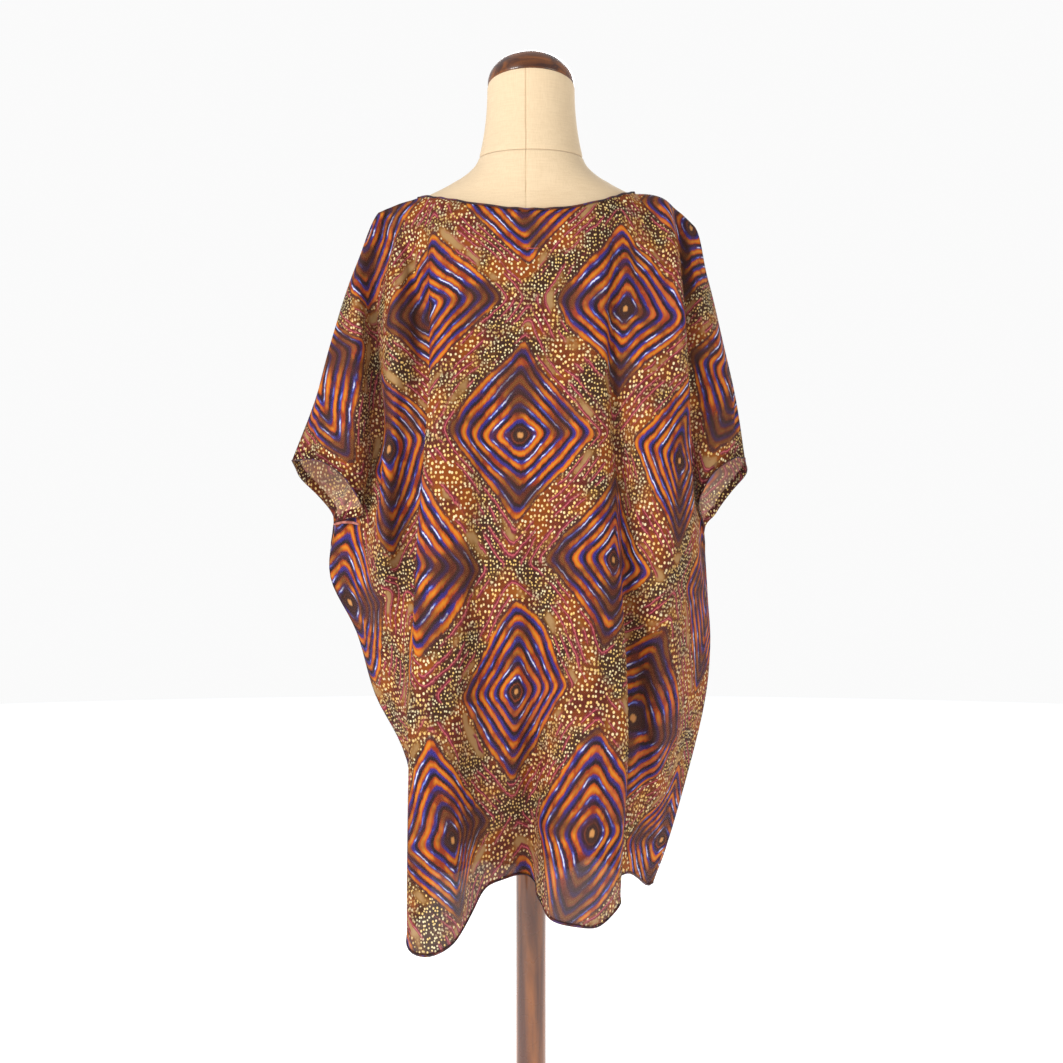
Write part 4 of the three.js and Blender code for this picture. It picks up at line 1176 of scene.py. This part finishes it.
# Under the left arm the end of the armhole's hem is caught down on the panel, wrong side out.
pale_cloth = hem_cloth("turned_hem_end", shade(188, 118, 104), shade(150, 74, 60), shade(226, 176, 156))
path = []
for t in (0, 0.15, 0.3, 0.5, 0.7, 0.85, 1):
    arch = math.sin(math.pi * t)
    path.append(on_back(-236 + 32 * t, 1011 + 2.5 * arch, 1.4 * arch))
hem_end = rolled_hem("armhole_hem_end", path, 1.6, pale_cloth)

# The neck's roll is a little taller than it is deep, and it goes round over both shoulders.
ROLL_UP = 1.7  # how far its middle lies above the cloth's edge
ROLL_HALF_TALL = 1.6
ROLL_HALF_DEEP = 0.8
ROLL_SUNK = 1.2  # how much nearer to the form than the cloth's outside the roll's back may lie
CREST_REACH = 12  # the form's shoulder falls away from its crest this far,
CREST_FALL = 0.27  # at this slope
CREST_CLIMB = 0.5  # and climbs towards the neck at this one
CORNER_REACH = 14  # the roll turns over the crest within this distance of the neck opening's ends


def over_crest(point, rise):
    """Lifts a point beside the crest of the form's shoulder, so that it lies at least rise above it."""
    crest = shoulder_height(point.x)
    away = abs(point.y - form_at(crest)[2])
    if away < CREST_REACH:
        point.z = max(point.z, crest + rise - CREST_FALL * away)
    return point


neck_ring = []
for points, side in ((back_points, -1), (front_points, 1)):
    end = len(points[0]) - 1 - CORNER_COLUMN
    for column in range(CORNER_COLUMN, end) if side < 0 else range(end, CORNER_COLUMN, -1):
        down = points[6][column] - points[0][column]
        across = points[0][column + 1] - points[0][column - 1]
        normal = (across.cross(down) * side).normalized()
        neck_ring.append((points[0][column], normal, side))

bm = bmesh.new()
turn, ring = round_section(bm, 10)
for step in range(len(neck_ring) + 1):
    if step:
        ring = grown(bm, ring)
    outer, normal, side = neck_ring[step % len(neck_ring)]
    onward = neck_ring[(step + 1) % len(neck_ring)][0] - neck_ring[step - 1][0]
    up = normal.cross(onward).normalized()
    corner = shoulder_seam(NECK_LEFT_X if outer.x < 0 else NECK_RIGHT_X)
    nearness = max(0.0, 1 - (outer - corner).length / CORNER_REACH)
    climbing = Vector((-math.copysign(1, outer.x), 0, CREST_CLIMB)).normalized()
    up = up.lerp(climbing, nearness).normalized()
    off_crest = Vector((math.copysign(climbing.z, outer.x), 0, abs(climbing.x)))
    normal = normal.lerp(off_crest, nearness).normalized()
    for vert in ring:
        height = (ROLL_UP + ROLL_HALF_TALL * math.cos(vert[turn])) * (1 - 0.5 * math.sqrt(nearness))
        depth = ROLL_HALF_DEEP + ROLL_HALF_DEEP * math.sin(vert[turn])
        at = outer + normal * (depth - CLOTH_WALL) + up * height
        if nearness < 0.9:
            clear_of_form(at, side, REST_OUT - ROLL_SUNK + depth)
        vert.co = over_crest(at, REST_UP - ROLL_SUNK + depth) / 1000
bmesh.ops.remove_doubles(bm, verts=bm.verts[:], dist=1e-5)
bmesh.ops.recalc_face_normals(bm, faces=bm.faces[:])
neck_hem = new_piece("neck_rolled_hem", bm, hem_finish)
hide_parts("neck_binding")


# ------------------------------------------------------------------------------------ studio
# A plain pale floor, a pale room and three large soft lights: one at the left, one at the right and one
# that shines through the cloth from the far side. The camera looks level at the garment's back.
FLOOR_RADIUS = 9.0
LAMPS_AIM = (0, 0, 1.1)
CAMERA_AWAY = 2.2
CAMERA_RIGHT = 0.0006
CAMERA_HEIGHT = 1.0022  # the middle of the garment
VIEW_WIDE = 1.2756  # how much the camera sees from side to side, at the stand

bm = bmesh.new()
bmesh.ops.create_circle(bm, cap_ends=True, segments=96, radius=FLOOR_RADIUS)
floor_finish = Finish("pale_floor")
mottle = floor_finish.noise(floor_finish.place(), 3.0, 3.0)
floor_colour = floor_finish.mixed(mottle, shade(240, 240, 240), shade(246, 246, 246))
floor_mesh = bpy.data.meshes.new("floor")
bm.to_mesh(floor_mesh)
bm.free()
floor_mesh.materials.append(
    floor_finish.done(
        Base_Color=floor_colour,
        Roughness=0.8 + 0.05 * mottle,
        Emission_Color=(1.0, 1.0, 1.0, 1.0),
        Emission_Strength=0.64,
    )
)
floor = bpy.data.objects.new("floor", floor_mesh)
bpy.context.collection.objects.link(floor)

# The room looks paler to the camera than the light that it sheds.
room = bpy.data.worlds.new("pale_room")
room.use_nodes = True
room_nodes, room_links = room.node_tree.nodes, room.node_tree.links
seen = room_nodes["Background"]
lit = room_nodes.new("ShaderNodeBackground")
whole = room_nodes.new("ShaderNodeMixShader")
seen.inputs["Color"].default_value = (0.96, 0.96, 0.96, 1.0)
lit.inputs["Color"].default_value = (0.42, 0.43, 0.45, 1.0)
room_links.new(room_nodes.new("ShaderNodeLightPath").outputs["Is Camera Ray"], whole.inputs["Fac"])
room_links.new(lit.outputs[0], whole.inputs[1])
room_links.new(seen.outputs[0], whole.inputs[2])
room_links.new(whole.outputs[0], room_nodes["World Output"].inputs["Surface"])
bpy.context.scene.world = room
bpy.context.scene.view_settings.view_transform = "Standard"

for name, place, power, size, tint in (
    ("window_left", (-2.4, -2.4, 2.5), 94, 1.3, (1.0, 0.98, 0.96)),
    ("lamp_right", (2.6, -2.2, 1.9), 25, 1.8, (1.0, 0.93, 0.76)),
    ("lamp_behind", (0.6, 2.8, 2.6), 60, 1.8, (1.0, 1.0, 1.0)),
):
    light = bpy.data.lights.new(name, "AREA")
    light.energy = power
    light.size = size
    light.color = tint
    lamp = bpy.data.objects.new(name, light)
    lamp.location = place
    lamp.rotation_euler = (Vector(LAMPS_AIM) - Vector(place)).to_track_quat("-Z", "Y").to_euler()
    bpy.context.collection.objects.link(lamp)

camera_data = bpy.data.cameras.new("camera")
camera_data.sensor_fit = "HORIZONTAL"
camera_data.angle = 2 * math.atan(VIEW_WIDE / 2 / CAMERA_AWAY)
camera = bpy.data.objects.new("camera", camera_data)
camera.location = (CAMERA_RIGHT, -CAMERA_AWAY, CAMERA_HEIGHT)
camera.rotation_euler = (math.pi / 2, 0, 0)
bpy.context.collection.objects.link(camera)
bpy.context.scene.camera = camera
